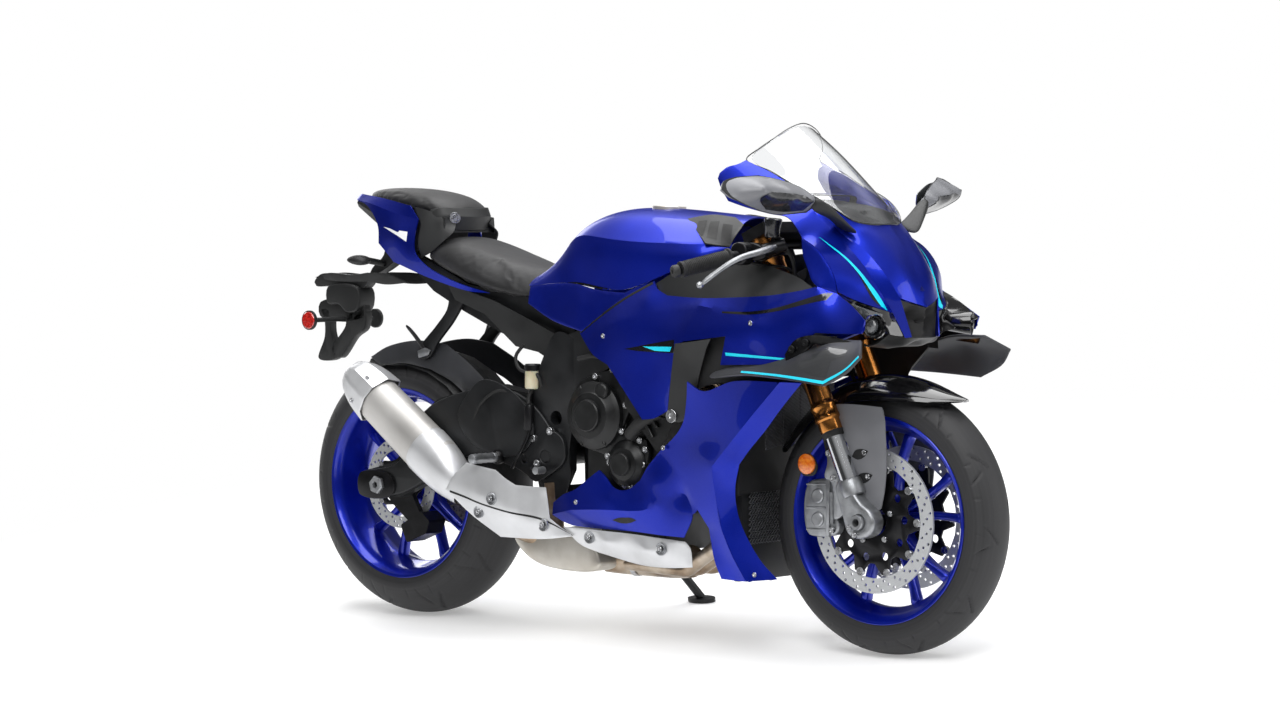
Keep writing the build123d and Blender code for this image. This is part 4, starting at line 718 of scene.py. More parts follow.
def lay(name, spots, tree, entry, wanted, piece, turn, finish):
    """Sets a piece on every point of a cloud and turns the result into a mesh."""
    cloud = build(name, spots, [])
    placed = add(tree, "GeometryNodeInstanceOnPoints", {"Points": entry["Cloud"], "Instance": piece,
        "Rotation": turn})
    real = add(tree, "GeometryNodeRealizeInstances", {"Geometry": placed.outputs[0]})
    coat = add(tree, "GeometryNodeSetMaterial", {"Geometry": real.outputs[0], "Material": finish})
    add(tree, "NodeGroupOutput", {"Geometry": coat.outputs[0]})
    laid = modify(cloud, "NODES", node_group=tree)
    for key, value in wanted.items():
        laid[key] = value
    settle(cloud)
    face_out(cloud)
    return cloud


def studs(name, spots, radius, height, socket, finish=zinc, along=RIGHT, body="chassis"):
    """Round-headed socket screws set by geometry nodes on a cloud of points."""
    tree, entry, wanted = planted(name, {"Head radius": radius / 1000, "Head height": height / 1000,
        "Socket radius": socket / 1000})
    head = add(tree, "GeometryNodeMeshCylinder", {"Vertices": 18, "Radius": entry["Head radius"],
        "Depth": entry["Head height"]})
    tool = add(tree, "GeometryNodeMeshCylinder", {"Vertices": 6, "Radius": entry["Socket radius"],
        "Depth": entry["Head height"]})
    lifted = add(tree, "GeometryNodeTransform", {"Geometry": tool.outputs["Mesh"],
        "Translation": (0, 0, height * 0.0006)})
    carved = add(tree, "GeometryNodeMeshBoolean", {"Mesh 1": head.outputs["Mesh"], "Mesh 2": lifted.outputs[0]},
        operation="DIFFERENCE")
    way = (LEAN.to_3x3() @ Vector(along)).to_track_quat("Z", "Y").to_euler()
    return dress(soften(lay(name, spots, tree, entry, wanted, carved.outputs[0], way, finish), 0.5, 1, 50), finish,
        body=body)


def film(name, loop, host, view, finish, lift=0.35, step=4.0, both=True, body="chassis"):
    """Thin trim film laid on a host piece, inside a loop near its surface, as seen along a view."""
    tree, toward = surface_of(host), (LEAN.to_3x3() @ Vector(view)).normalized()
    made = panel(name, [patch(loop, (), view, step)], view, 0, False)
    for vert in made.data.vertices:
        spot, normal, _, _ = tree.ray_cast(vert.co + toward * 0.3, -toward, 0.6)
        if spot is None:
            spot, normal, _, _ = tree.find_nearest(vert.co)
        vert.co = spot + (normal if normal.dot(toward) > 0 else -normal) * (lift / 1000)
    if both:
        twin = made.copy()
        twin.data = made.data.copy()
        bpy.context.scene.collection.objects.link(twin)
        for vert in twin.data.vertices:
            x, y, z = BIKE.inverted() @ vert.co
            vert.co = BIKE @ Vector((x, -y, z))
        twin.data.flip_normals()
        made = merge(name, made, twin)
    return dress(made, finish, body=body)


film("cowl_stripe_cyan", upright(-135, [(1298, 923, 1), (1333, 904), (1377, 878), (1417, 847), (1440, 825),
    (1463, 803), (1485, 776), (1492, 764, 1), (1473, 774, 1), (1447, 803), (1429, 824), (1409, 845), (1373, 875),
    (1332, 901)]), cowl, EYE, cyan_film, step=2.5)
# painted shadow: black film along the stripe's lower side, where shade falls beside it
film("cowl_stripe_shadow", upright(-135, [(1388, 864, 1), (1409, 845), (1429, 824), (1447, 803), (1473, 774, 1),
    (1461, 779, 1), (1447, 790), (1431, 811), (1415, 835)]), cowl, EYE, black_trim_and_painted_shade, 0.3, 2.5)

skin("cowl_inner_flank", [corner(1306, -203, 921), *[(x, y - 1, z - 2) for x, y, z in PARTING[::-1]],
    corner(1400, -198, 801), corner(1361, -216, 815), (1345, -216, 828), (1331, -212, 852), (1314, -208, 884)], [],
    (0.3, -1, 0.2), body_blue, step=7)

screen = cage("windscreen_bubble", [
    [(1158, 0, 1175), (1156, -50, 1163), (1143, -92, 1139), (1124, -120, 1117), (1103, -137, 1094)],
    [(1218, 0, 1129), (1214, -50, 1121), (1203, -92, 1101), (1188, -119, 1081), (1170, -136, 1067)],
    [(1279, 0, 1074), (1275, -48, 1067), (1264, -90, 1052), (1250, -117, 1039), (1236, -132, 1034)],
    [(1340, 0, 1013), (1336, -44, 1008), (1326, -82, 1000), (1314, -108, 997), (1301, -126, 1003)],
    [(1394, 0, 950), (1388, -36, 950), (1376, -68, 953), (1360, -94, 959), (1339, -112, 978)]], levels=3)
thicken(screen, 2.5)
dress(screen, clear_screen, ["windscreen"], 60)
rim_line = [(1394, 0, 951), (1384, -50, 951), (1362, -90, 959), (1338, -112, 979), (1301, -126, 1004),
    (1236, -132, 1035), (1170, -136, 1068), (1103, -137, 1095), (1124, -120, 1118), (1143, -92, 1140),
    (1155, -50, 1164), (1158, 0, 1176)]
dress(pipe("windscreen_edge", rim_line + [(x, -y, z) for x, y, z in rim_line[-2:0:-1]], 1.3, 8, 6, True),
    gloss_black)
skin("dash_cover", [corner(1392, 0, 946), (1382, -50, 946), (1360, -88, 953), corner(1334, -108, 972),
    (1290, -112, 985), corner(1240, -112, 985), (1236, -60, 1000), corner(1232, 0, 1004)],
    [(1320, -40, 985), (1322, 0, 988)], (0.3, 0, 1), moulded_black, ["cockpit"], step=8, wall=2.5)
meter = cage("dash_meter", [[(1200, 0, 958), (1200, -70, 958), (1204, -84, 966), (1216, -88, 990),
    (1228, -84, 1010), (1232, -70, 1016), (1232, 0, 1016)], [(1216, 0, 950), (1216, -74, 950), (1220, -88, 958),
    (1232, -92, 984), (1244, -88, 1006), (1248, -74, 1012), (1248, 0, 1012)]], levels=2)
thicken(meter, 3)
dress(meter, gloss_black)

# central intake between the blades, with the black chin and the lamp slits beside it
skin("intake_mouth", [corner(1494, 0, 768), (1486, -36, 776), corner(1474, -70, 787), corner(1480, -56, 704),
    corner(1484, 0, 700)], [(1446, 0, 742), (1448, -30, 746)], (1, 0, 0), black_parts_and_painted_shade, ["headlights"], step=6)
skin("intake_chin", [corner(1492, 0, 702), (1489, -30, 702), corner(1482, -60, 703), corner(1466, -96, 712),
    (1440, -110, 690), corner(1400, -100, 684), corner(1392, 0, 676)], [(1460, -30, 684)], (0.5, 0, -1),
    moulded_black, step=7)
skin("lamp_slit_surround", [corner(1401, -196, 802), (1426, -168, 785), (1451, -140, 772), (1466, -106, 762),
    corner(1462, -78, 755), corner(1480, -60, 704), corner(1466, -100, 712), (1472, -150, 722),
    corner(1488, -214, 742), (1460, -206, 766), (1430, -202, 786)], [(1440, -140, 745), (1428, -175, 765)],
    (1, -0.7, 0.2), gloss_black, step=7)
skin("lamp_slit_lens", [corner(1422, -184, 782), (1440, -162, 771), corner(1464, -118, 756),
    corner(1460, -116, 746), (1442, -150, 750), (1424, -176, 766)], [(1449, -146, 762)], (1, -0.7, 0.2), lamp_lens,
    step=5, wall=2)
for side in TAG:
    duct = lathe(f"lamp_pod_{TAG[side]}", [(0, -14), (14, -14), (17, -8), (20, 6), (24, 14), (26, 16), (27, 13),
        (24, -10), (20, -40), (0, -40)], (1478, side * 176, 731), (0.86, side * 0.42, -0.05), 40)
    dress(duct, gloss_black)
    lens = lathe(f"lamp_pod_lens_{TAG[side]}", [(0, 3), (8, 2), (14, 0), (18, -5), (18, -8), (0, -8)],
        (1478, side * 176, 731), (0.86, side * 0.42, -0.05), 32)
    dress(lens, lamp_lens)


def slices(rows):
    """Rows of points from x and pairs of y z."""
    return [[(x, y, z) for y, z in line] for x, line in rows]


def cuts(rows):
    """Rows of points from y and pairs of x z."""
    return [[(x, y, z) for x, z in line] for y, line in rows]


# mirrors: a flat arm that opens into a cornered housing, with its glass behind and a signal lens below
MIRROR_LOOP = [corner(1350, -190, 1000), (1332, -238, 1031), (1309, -298, 1050), corner(1288, -334, 1057),
    corner(1268, -386, 1053), (1262, -420, 1044), corner(1276, -446, 1026), (1284, -430, 1011), (1288, -380, 993),
    corner(1289, -330, 980), (1294, -270, 972), corner(1316, -200, 977)]
shell = panel("mirror_housings", [patch(MIRROR_LOOP, [(1362, -230, 1004), (1352, -300, 1020), (1332, -370, 1026),
    (1350, -290, 1002)], (1, -0.25, 0), 7)], (1, -0.25, 0.1), 4)
arm = cage("mirror_arms", cuts(((-104, [(1398, 930), (1366, 944), (1334, 950), (1334, 940), (1366, 930),
    (1396, 922)]), (-132, [(1390, 948), (1364, 958), (1338, 962), (1338, 950), (1364, 942), (1388, 938)]),
    (-170, [(1376, 984), (1360, 992), (1342, 992), (1338, 976), (1356, 964), (1376, 970)]),
    (-212, [(1358, 1012), (1348, 1018), (1334, 1016), (1318, 984), (1336, 976), (1358, 990)]))), closed=True,
    caps=(True, True), levels=2)
dress(arm, moulded_black, ["mirrors"], 40)
# the mirror shells wear black ABS with a painted sheen
dress(shell, abs_with_painted_sheen, angle=40)
skin("mirror_backs", MIRROR_LOOP, [(1290, -300, 1012)], (1, -0.25, 0), moulded_black, wall=2, outward=(-1, 0.2, 0))
skin("mirror_glasses", [corner(1303, -232, 1018), (1284, -300, 1040), corner(1268, -350, 1046), (1257, -400, 1038),
    corner(1262, -424, 1026), (1278, -360, 998), corner(1284, -300, 988), (1296, -240, 990)], [], (-1, 0.2, 0),
    mirror_glass, wall=2)
film("mirror_signal_lenses", [corner(1340, -206, 1000), (1346, -250, 1012), corner(1322, -330, 1020),
    (1306, -350, 1006), corner(1296, -318, 984), (1304, -262, 979), corner(1322, -218, 982)], shell, EYE,
    smoked_lens, 1.5, 5.0)

# ---- side fairings ----
LIP_TOP = [(1370, -222, 800), (1210, -229, 757), (1120, -226, 758)]
FLANK_FOLD = [(960, -208, 762), (880, -205, 752), (780, -196, 730), (710, -184, 700)]
upper = patch([corner(640, -166, 700), (700, -170, 738), (780, -174, 786), corner(871, -177, 822),
    (884, -184, 806), corner(921, -192, 790), (1021, -202, 786), (1130, -208, 789), (1229, -214, 795),
    (1310, -217, 806), corner(1361, -218, 816), corner(1401, -200, 801), *LIP_TOP, corner(1033, -218, 770),
    *FLANK_FOLD, corner(668, -178, 676)], [(870, -196, 784), (1229, -224, 776)], (0, -1, 0.2))
lip = patch([corner(1033, -218, 770), *LIP_TOP[::-1], corner(1401, -200, 801), (1450, -206, 772),
    corner(1488, -218, 744), corner(1478, -216, 716), (1440, -224, 715), corner(1366, -232, 716),
    (1330, -236, 690), corner(1286, -238, 646), corner(1106, -234, 640), corner(1122, -236, 704),
    corner(1000, -232, 690), (1010, -226, 730)], [(1210, -238, 736), (1340, -236, 752), (1200, -238, 680)], RIGHT)
lower = patch([corner(668, -178, 676), *FLANK_FOLD[::-1], corner(1033, -218, 770), (1010, -226, 730),
    corner(1000, -232, 690), (985, -231, 684), corner(973, -229, 678), (964, -227, 640), (952, -223, 580),
    corner(943, -219, 532), (900, -216, 514), corner(866, -214, 510), (800, -206, 580), corner(750, -198, 630),
    (700, -190, 652)], [(820, -208, 690), (900, -216, 640), (900, -216, 700)], RIGHT)
fairing = panel("side_fairing_skins", [upper, lip, lower], (0, -1, 0.1), 3.0)
dress(fairing, body_blue, ["side_fairings"], 22)

CREASE = [(1265, -226, 606), (1166, -224, 509), (1065, -214, 411), (1067, -202, 344), (1075, -190, 270),
    (1127, -168, 156)]
KEEL_FOLD = [(990, -188, 300), (968, -188, 345), corner(892, -202, 317), (860, -202, 304), corner(818, -202, 300),
    (720, -196, 298), corner(627, -186, 292)]
leg_main = patch([corner(1010, -232, 600), (1053, -230, 580), (1137, -230, 604), corner(*CREASE[0]), CREASE[1],
    corner(*CREASE[2]), CREASE[3], corner(*CREASE[4]), corner(1030, -178, 270), corner(1006, -190, 312),
    (975, -196, 365), (940, -200, 410), corner(908, -202, 440), (960, -208, 480), (985, -214, 510),
    (1000, -222, 556)], [(1050, -214, 470), (1100, -224, 540)], RIGHT)
leg_low = patch([corner(1030, -178, 270), corner(*CREASE[4]), (1098, -182, 214), corner(*CREASE[5]),
    (1090, -164, 156), corner(1057, -168, 158), (1042, -174, 200)], [(1066, -174, 210)], RIGHT)
leg_edge = patch([corner(*CREASE[0]), corner(1305, -200, 604), (1245, -196, 545), (1200, -192, 497),
    (1150, -184, 452), corner(1114, -176, 417), (1098, -170, 360), (1104, -162, 293), (1150, -148, 206),
    corner(1192, -138, 163), corner(*CREASE[5]), CREASE[4], CREASE[3], corner(*CREASE[2]), CREASE[1]], [],
    (0.3, -1, 0), 7)
keel_upper = patch([corner(563, -170, 305), (600, -178, 326), (640, -182, 340), (680, -186, 365),
    corner(717, -188, 388), (740, -190, 372), (760, -191, 352), (786, -192, 345), (812, -193, 350),
    corner(845, -196, 371), (868, -200, 400), corner(908, -202, 440), (940, -200, 410), (975, -196, 365),
    corner(1006, -190, 312), *KEEL_FOLD, corner(563, -174, 278)], [(760, -198, 320), (900, -204, 370)], RIGHT)
keel_lower = patch([corner(563, -174, 278), *KEEL_FOLD[::-1], corner(960, -180, 246), (900, -184, 248),
    (802, -178, 252), (700, -172, 252), corner(618, -164, 254), (590, -166, 262)],
    [(760, -188, 272), (900, -192, 280)], RIGHT)
belly = panel("belly_fairing_skins", [leg_main, leg_low, leg_edge, keel_upper, keel_lower], RIGHT, 3.0)
dress(belly, body_blue, ["belly_fairings"], 14)
# painted shade: a dark film where the keel's slots open
film("keel_slots", upright(-196, [(762, 276, 1), (780, 282), (800, 284), (820, 284), (834, 279, 1), (815, 272),
    (790, 270)]), belly, EYE, black_parts_and_painted_shade, 0.4)

# dark vane ahead of the engine window, and the shadowed wall behind the flank's gap
vane = skin("fairing_vane_skins", [corner(974, -231, 684), (1020, -233, 689), corner(1078, -234, 697),
    (1062, -228, 676), (1048, -222, 650), (1032, -216, 615), (1016, -210, 570), corner(997, -206, 520),
    (970, -210, 507), corner(945, -216, 512), corner(944, -219, 534), (956, -224, 600), (966, -228, 650)],
    [(1000, -221, 640), (984, -217, 580)], RIGHT, moulded_black, ["fairing_vanes"])
skin("fairing_gap_walls", [corner(1000, -206, 700), corner(1400, -200, 708), corner(1300, -190, 600),
    (1120, -206, 600), (1020, -206, 580), corner(990, -200, 510)], [], RIGHT, black_parts_and_painted_shade, step=12)
film("flank_stripes_cyan", upright(-236, [(1121, 668, 1), (1295, 659, 1), (1287, 655, 1), (1123, 661, 1)]),
    fairing, EYE, cyan_film)
# painted shadow: a black film in the gap under the fairing's lip, where shade falls
film("fairing_lip_gap_shadow", upright(-222, [(1101, 758, 1), (1179, 759), (1249, 768), (1317, 785), (1358, 796),
    (1388, 803), (1409, 803, 1), (1388, 787, 1), (1361, 783, 1), (1317, 774), (1249, 760), (1180, 752),
    (1101, 754, 1)]), fairing, EYE, black_trim_and_painted_shade, 0.3, 3.0)
film("flank_flash_black", upright(-215, [(813, 668, 1), (918, 686), (959, 692, 1), (959, 662, 1), (904, 663, 1),
    (860, 664)]), fairing, EYE, black_trim_and_painted_shade, 0.3, 3.0)
film("flank_flash_cyan", upright(-215, [(868, 675, 1), (952, 676, 1), (947, 665, 1), (904, 666, 1)]), fairing, EYE,
    cyan_film, 0.6, 3.0)
studs("fairing_screws", pinned(fairing, [(731, -180, 695), (1193, -226, 734), (925, -212, 448)]) + pinned(belly,
    [(646, -186, 311), (1144, -165, 172)]), 5.5, 4, 2.6)
studs("vane_bolts", pinned(vane, [(953, -215, 521)]), 15, 6, 6)

WING_EDGE = [(1076, -236, 614), (1184, -250, 622), (1299, -272, 617), corner(1438, -300, 606), (1497, -298, 637),
    corner(1526, -286, 671)]
WING_ROOT = [corner(1491, -234, 703), (1403, -229, 701), (1322, -229, 678), (1212, -229, 649),
    corner(1120, -230, 634), (1082, -231, 622)]
wing = skin("winglet_blades", WING_EDGE + WING_ROOT, [(1420, -262, 684), (1340, -256, 664)], (0, -0.9, 1),
    vane_plastic, ["winglets"], step=7, wall=6, angle=40)
film("winglet_stripes", [corner(1176, -250, 625), (1299, -271, 620), corner(1437, -298, 609), (1496, -297, 640),
    corner(1524, -287, 668), corner(1521, -284, 672), (1493, -294, 644), corner(1435, -295, 616),
    (1299, -269, 625), corner(1176, -247, 629)], wing, EYE, cyan_film, 0.6, 3.0)
film("winglet_weaves", upright(-262, [(1380, 691, 1), (1476, 682, 1), (1463, 667, 1), (1431, 658, 1),
    (1415, 621, 1), (1380, 624), (1340, 640, 1), (1350, 656, 1), (1380, 663, 1)]), wing, EYE, carbon, 0.5, 4.0)
skin("winglet_mounts", [corner(1291, -242, 668), (1316, -242, 698), (1351, -242, 710), (1424, -240, 708),
    corner(1479, -238, 697), corner(1469, -244, 684), corner(1370, -246, 693), (1351, -248, 677),
    (1316, -248, 661), corner(1297, -246, 654)], [], RIGHT, gloss_black, step=6, wall=5, angle=40)
studs("winglet_bolts", [(1315, -250, 680), (1353, -250, 695)], 8, 5, 3.5, finish=black_anodise)

# ---- mudguard ----
def guard_point(angle, y, radius):
    """A point of the mudguard at an angle and a radius about the front axle."""
    a = radians(angle)
    return FRONT_HUB.x + radius * cos(a), y, FRONT_HUB.z + radius * sin(a)


GUARD = [(150, (0, -30, -56, -74, -80), (316, 314, 303, 288, 272)), (130, (0, -30, -58, -77, -84),
    (318, 316, 305, 290, 270)), (111, (0, -32, -62, -82, -92), (326, 322, 313, 296, 272)),
    (95, (0, -32, -64, -84, -94), (327, 323, 311, 290, 266)), (84, (0, -32, -62, -82, -90),
    (324, 320, 306, 287, 268)), (74, (0, -28, -54, -74, -82), (323, 320, 309, 294, 276)),
    (66, (0, -26, -46, -62, -68), (323, 320, 311, 303, 292)), (59, (0, -18, -32, -42, -46),
    (329, 326, 319, 312, 305)), (53.5, (0, -4, -8, -11, -12), (338, 337, 334, 331, 328))]
guard = cage("mudguard_crown", [[guard_point(a, y, r) for y, r in zip(ys, rs)] for a, ys, rs in GUARD], levels=2,
    creases=(2,))
thicken(guard, 3)
dress(guard, gloss_black, ["front_mudguard"], 50, body="steering")
# the mudguard cheeks wear black ABS with a painted sheen
cheek = skin("mudguard_cheeks", [corner(1286, -92, 552), (1350, -93, 556), corner(1440, -90, 552),
    corner(1452, -94, 520), (1456, -95, 460), (1455, -93, 415), (1450, -92, 370), corner(1440, -90, 330),
    (1415, -90, 314), corner(1388, -91, 320), (1372, -93, 380), (1362, -95, 430), (1350, -97, 474),
    corner(1330, -98, 486), (1310, -96, 520)], [(1400, -98, 500), (1410, -97, 430)], RIGHT, abs_with_painted_sheen, step=7,
    body="steering")
# painted shade: dark films where the cheek's slots open
for k, (x, z) in enumerate(((1387, 447), (1397, 395))):
    film(f"cheek_slots_{k}", [corner(x - 22, -96, z - 6), (x - 12, -96, z + 8), (x + 6, -96, z + 12),
        corner(x + 24, -96, z + 8), (x + 12, -96, z - 6), (x - 6, -96, z - 12)], cheek, RIGHT, black_parts_and_painted_shade, 0.4,
        body="steering")
studs("cheek_screws", [(1399, -97, 451), (1409, -97, 399)], 6, 5, 2.8, body="steering")


# ---- tank, seats and tail ----
TANK_ROWS = [  # x, then y z from the centre line down to the parting line with the side cover
    (436, [(0, 842), (-40, 838), (-68, 830), (-88, 822), (-100, 815), (-108, 808), (-112, 802)]),
    (496, [(0, 874), (-40, 868), (-72, 858), (-98, 846), (-112, 832), (-120, 820), (-124, 810)]),
    (548, [(0, 928), (-46, 922), (-86, 906), (-110, 884), (-121, 858), (-128, 834), (-134, 813)]),
    (598, [(0, 970), (-50, 965), (-98, 950), (-130, 930), (-138, 892), (-140, 852), (-142, 815)]),
    (680, [(0, 990), (-54, 985), (-104, 968), (-150, 920), (-157, 884), (-157, 846), (-156, 801)]),
    (771, [(0, 990), (-58, 983), (-106, 962), (-160, 911), (-166, 878), (-166, 838), (-166, 795)]),
    (860, [(0, 985), (-62, 976), (-108, 954), (-163, 908), (-170, 884), (-171, 856), (-169, 824)]),
    (930, [(0, 979), (-63, 970), (-104, 950), (-158, 907), (-167, 888), (-169, 872), (-169, 850)]),
    (990, [(0, 974), (-60, 965), (-96, 946), (-148, 905), (-158, 892), (-161, 882), (-162, 872)]),
    (1036, [(0, 969), (-50, 960), (-76, 942), (-100, 914), (-106, 900), (-108, 890), (-108, 880)])]
tank = cage("fuel_tank_skin", slices(TANK_ROWS), creases=(3,), levels=3)
thicken(tank, 3)
dress(tank, body_blue, ["fuel_tank"], 30)
insert = skin("tank_louvre_inserts", [corner(893, -84, 963), (950, -66, 972), corner(1010, -58, 966),
    corner(1040, -66, 950), (1040, -100, 920), corner(1036, -112, 900), corner(998, -152, 908)],
    [(980, -100, 948)], (0, -0.6, 1), moulded_black, step=6, angle=40)
# painted shade: dark films in the louvre's slots
for k in range(3):
    x = 930 + k * 34
    film(f"tank_louvre_slots_{k}", [corner(x, -92, 960), corner(x + 22, -88, 962), corner(x + 44, -126, 918),
        corner(x + 22, -132, 918)], insert, (0, -0.6, 1), black_parts_and_painted_shade, 0.5, 3.0)
skin("tank_lower_covers", [corner(445, -116, 803), (520, -130, 811), corner(604, -143, 814), (690, -157, 799),
    corner(775, -168, 794), corner(857, -170, 823), (760, -171, 768), corner(645, -167, 703), (540, -146, 726),
    corner(447, -126, 764)], [(640, -160, 760)], RIGHT, body_blue, ["tank_side_covers"], angle=30)
skin("air_duct_covers", [corner(868, -168, 816), (930, -168, 846), corner(1000, -160, 868), (1090, -150, 870),
    corner(1180, -150, 858), (1260, -160, 836), corner(1330, -190, 812), (1229, -198, 793), (1130, -198, 786),
    (1021, -194, 783), corner(921, -186, 783), corner(884, -178, 802)], [(1100, -172, 826)], (0, -1, 0.5),
    moulded_black)
cap = lathe("fuel_lid_dressed", [(0, 3), (22, 3), (24, 2), (30, 2), (33, 5), (39.4, 5), (39.6, 3), (39.6, -2),
    (0, -2)], (770.4, 0, 985.6), (0.0375, 0, 1), 48)
dress(cap, box_steel, ["fuel_lid"], body="fuel_lid")


def close_ends(piece):
    """Fills the open ends of a mirrored cage and turns its faces outward."""
    def work(shape):
        rims = [line for line in shape.edges if line.is_boundary]
        bmesh.ops.holes_fill(shape, edges=rims, sides=0)
        bmesh.ops.recalc_face_normals(shape, faces=shape.faces)
    return edit(piece, work)


def inflate(piece, pressure, limit, voxel=0.006):
    """Blows a closed pad up a little as cloth, with a cap on how far any point moves."""
    modify(piece, "REMESH", mode="VOXEL", voxel_size=voxel, use_smooth_shade=True)
    settle(piece)
    before = np.empty(len(piece.data.vertices) * 3)
    piece.data.vertices.foreach_get("co", before)
    cloth = modify(piece, "CLOTH")
    cloth.settings.use_pressure = True
    cloth.settings.uniform_pressure_force = pressure
    cloth.settings.effector_weights.gravity = 0
    cloth.point_cache.frame_end = BUBBLE_FRAMES
    for step in range(1, BUBBLE_FRAMES + 1):
        bpy.context.scene.frame_set(step)
    settle(piece)
    bpy.context.scene.frame_set(1)
    after = np.empty(len(before))
    piece.data.vertices.foreach_get("co", after)
    move = (after - before).reshape(-1, 3)
    size = np.maximum(np.linalg.norm(move, axis=1, keepdims=True), 1e-9)
    piece.data.vertices.foreach_set("co", (before.reshape(-1, 3) + move * np.minimum(1, limit / 1000 / size)).ravel())
    piece.data.update()
    return subdivide(piece, 1)


pad = close_ends(cage("rider_seat_pad", slices([(84, [(0, 893), (-36, 893), (-62, 888), (-80, 878), (-88, 868),
    (-60, 862), (0, 860)]), (104, [(0, 912), (-42, 911), (-74, 903), (-94, 888), (-102, 866), (-64, 848),
    (0, 846)]), (150, [(0, 918), (-54, 916), (-90, 905), (-112, 880), (-118, 846), (-70, 832), (0, 830)]),
    (205, [(0, 905), (-62, 903), (-102, 890), (-125, 860), (-128, 824), (-74, 816), (0, 814)]),
    (270, [(0, 884), (-64, 882), (-108, 868), (-131, 836), (-132, 800), (-76, 798), (0, 796)]),
    (340, [(0, 864), (-60, 861), (-104, 847), (-127, 812), (-128, 782), (-74, 786), (0, 786)]),
    (400, [(0, 848), (-50, 844), (-86, 830), (-109, 796), (-112, 772), (-64, 776), (0, 776)]),
    (438, [(0, 838), (-38, 833), (-66, 820), (-86, 792), (-90, 768), (-50, 768), (0, 768)]),
    (454, [(0, 830), (-28, 825), (-48, 812), (-62, 792), (-66, 776), (-36, 772), (0, 772)])]), levels=2,
    caps=(True, True)))
inflate(pad, 4.0, 5.0)
dress(pad, seat_vinyl, ["rider_seat"], 60)
pad = close_ends(cage("passenger_seat_pad", slices([
    (-158, [(0, 1022), (-12, 1021), (-22, 1018), (-26, 1012), (-14, 1008), (0, 1008)]),
    (-122, [(0, 1032), (-36, 1030), (-55, 1023), (-60, 1013), (-36, 1004), (0, 1004)]),
    (-40, [(0, 1035), (-58, 1031), (-84, 1018), (-90, 1004), (-56, 992), (0, 990)]),
    (50, [(0, 1029), (-64, 1024), (-95, 1006), (-102, 988), (-64, 976), (0, 974)]),
    (118, [(0, 1014), (-60, 1008), (-90, 992), (-97, 974), (-62, 962), (0, 960)]),
    (150, [(0, 996), (-48, 989), (-74, 976), (-82, 962), (-50, 952), (0, 950)]),
    (158, [(0, 980), (-40, 974), (-62, 964), (-68, 956), (-40, 950), (0, 950)])]), levels=2))
inflate(pad, 4.0, 4.0)
dress(pad, seat_vinyl, ["passenger_seat"], 60)

tail_top = patch([corner(-196, -34, 1018), corner(-150, -60, 1022), (-50, -86, 1010), corner(51, -105, 993),
    corner(84, -112, 960), (0, -104, 975), (-90, -90, 997), corner(-160, -68, 1008)], [], (0, -1, 0.6), 7)
tail_side = patch([corner(-160, -68, 1008), (-90, -90, 997), (0, -104, 975), corner(84, -112, 960),
    (80, -121, 918), (86, -127, 882), (123, -131, 851), (220, -133, 812), corner(323, -122, 786), (263, -128, 790),
    (135, -128, 820), corner(6, -114, 857), corner(-54, -104, 902), (-60, -100, 943), (-105, -86, 990)],
    [(20, -120, 920)], (0, -1, 0.1), 8)
tail = panel("tail_skins", [tail_top, tail_side], (0, -1, 0.4), 3)
dress(tail, body_blue, ["tail_panels"], 24)
skin("tail_hump_covers", [corner(60, -100, 990), (100, -98, 982), corner(150, -84, 962), corner(160, -60, 950),
    (170, -80, 930), corner(150, -98, 905), (120, -108, 880), corner(95, -112, 868), (88, -116, 900),
    corner(92, -110, 950)], [(130, -98, 940)], (0.3, -1, 0.2), moulded_black, step=7)
fascia = cage("pillion_base_front", cuts(((-98, [(104, 966), (110, 972), (116, 962), (114, 950), (106, 946)]),
    (-90, [(104, 986), (130, 990), (138, 968), (132, 938), (110, 938)]),
    (-72, [(104, 992), (146, 987), (156, 968), (148, 936), (110, 930)]),
    (-40, [(104, 996), (156, 986), (168, 966), (160, 934), (110, 926)]),
    (0, [(104, 998), (160, 985), (173, 966), (165, 934), (110, 926)]))), closed=True, levels=2,
    creases=(0, 1, 2, 3), caps=(True, False))
dress(fascia, moulded_black, angle=35)
lock = lathe("seat_lock", [(0, 5), (8, 5), (9, 3), (13, 3), (14.5, 0), (14.5, -4), (0, -4)], (158, -62, 963),
    (0.85, -0.5, 0.05), 40)
dress(lock, zinc)
film("tail_flash", [corner(-40, -100, 941), corner(-22, -100, 938), (10, -100, 928), corner(16, -104, 932),
    corner(44, -104, 929), corner(40, -104, 905), corner(10, -100, 918)], tail, EYE, white_film, 0.4, 3.0)
film("cover_seams", [corner(641, -166, 703), (704, -170, 741), (787, -174, 785), corner(866, -176, 820),
    corner(870, -176, 815), (790, -174, 780), (707, -170, 736), corner(645, -166, 699)], fairing, RIGHT,
    black_trim_and_painted_shade, 0.4, 3.0)
film("tank_seams", upright(-150, [(530, 805, 1), (612, 816), (688, 806), (762, 794, 1), (762, 789, 1), (688, 801),
    (612, 811), (530, 801, 1)]), tank, EYE, black_trim_and_painted_shade, 0.5, 3.0)


# ---- wheels ----
FRONT_RIM_HALF, REAR_RIM_HALF = 50.5, 82.0
BEAD_R, GROOVE_DEPTH = 226.0, 4.2
TREAD_SHARE = 0.62                     # of the profile's points that lie on the tread
# repeats round the tyre, start and end as a share of the half width, slope, width in mm
GROOVES = [(11, 0.22, 0.72, 0.55, 5.0), (11, 0.5, 0.98, -0.35, 4.0), (22, 0.78, 1.0, 0.25, 2.6)]
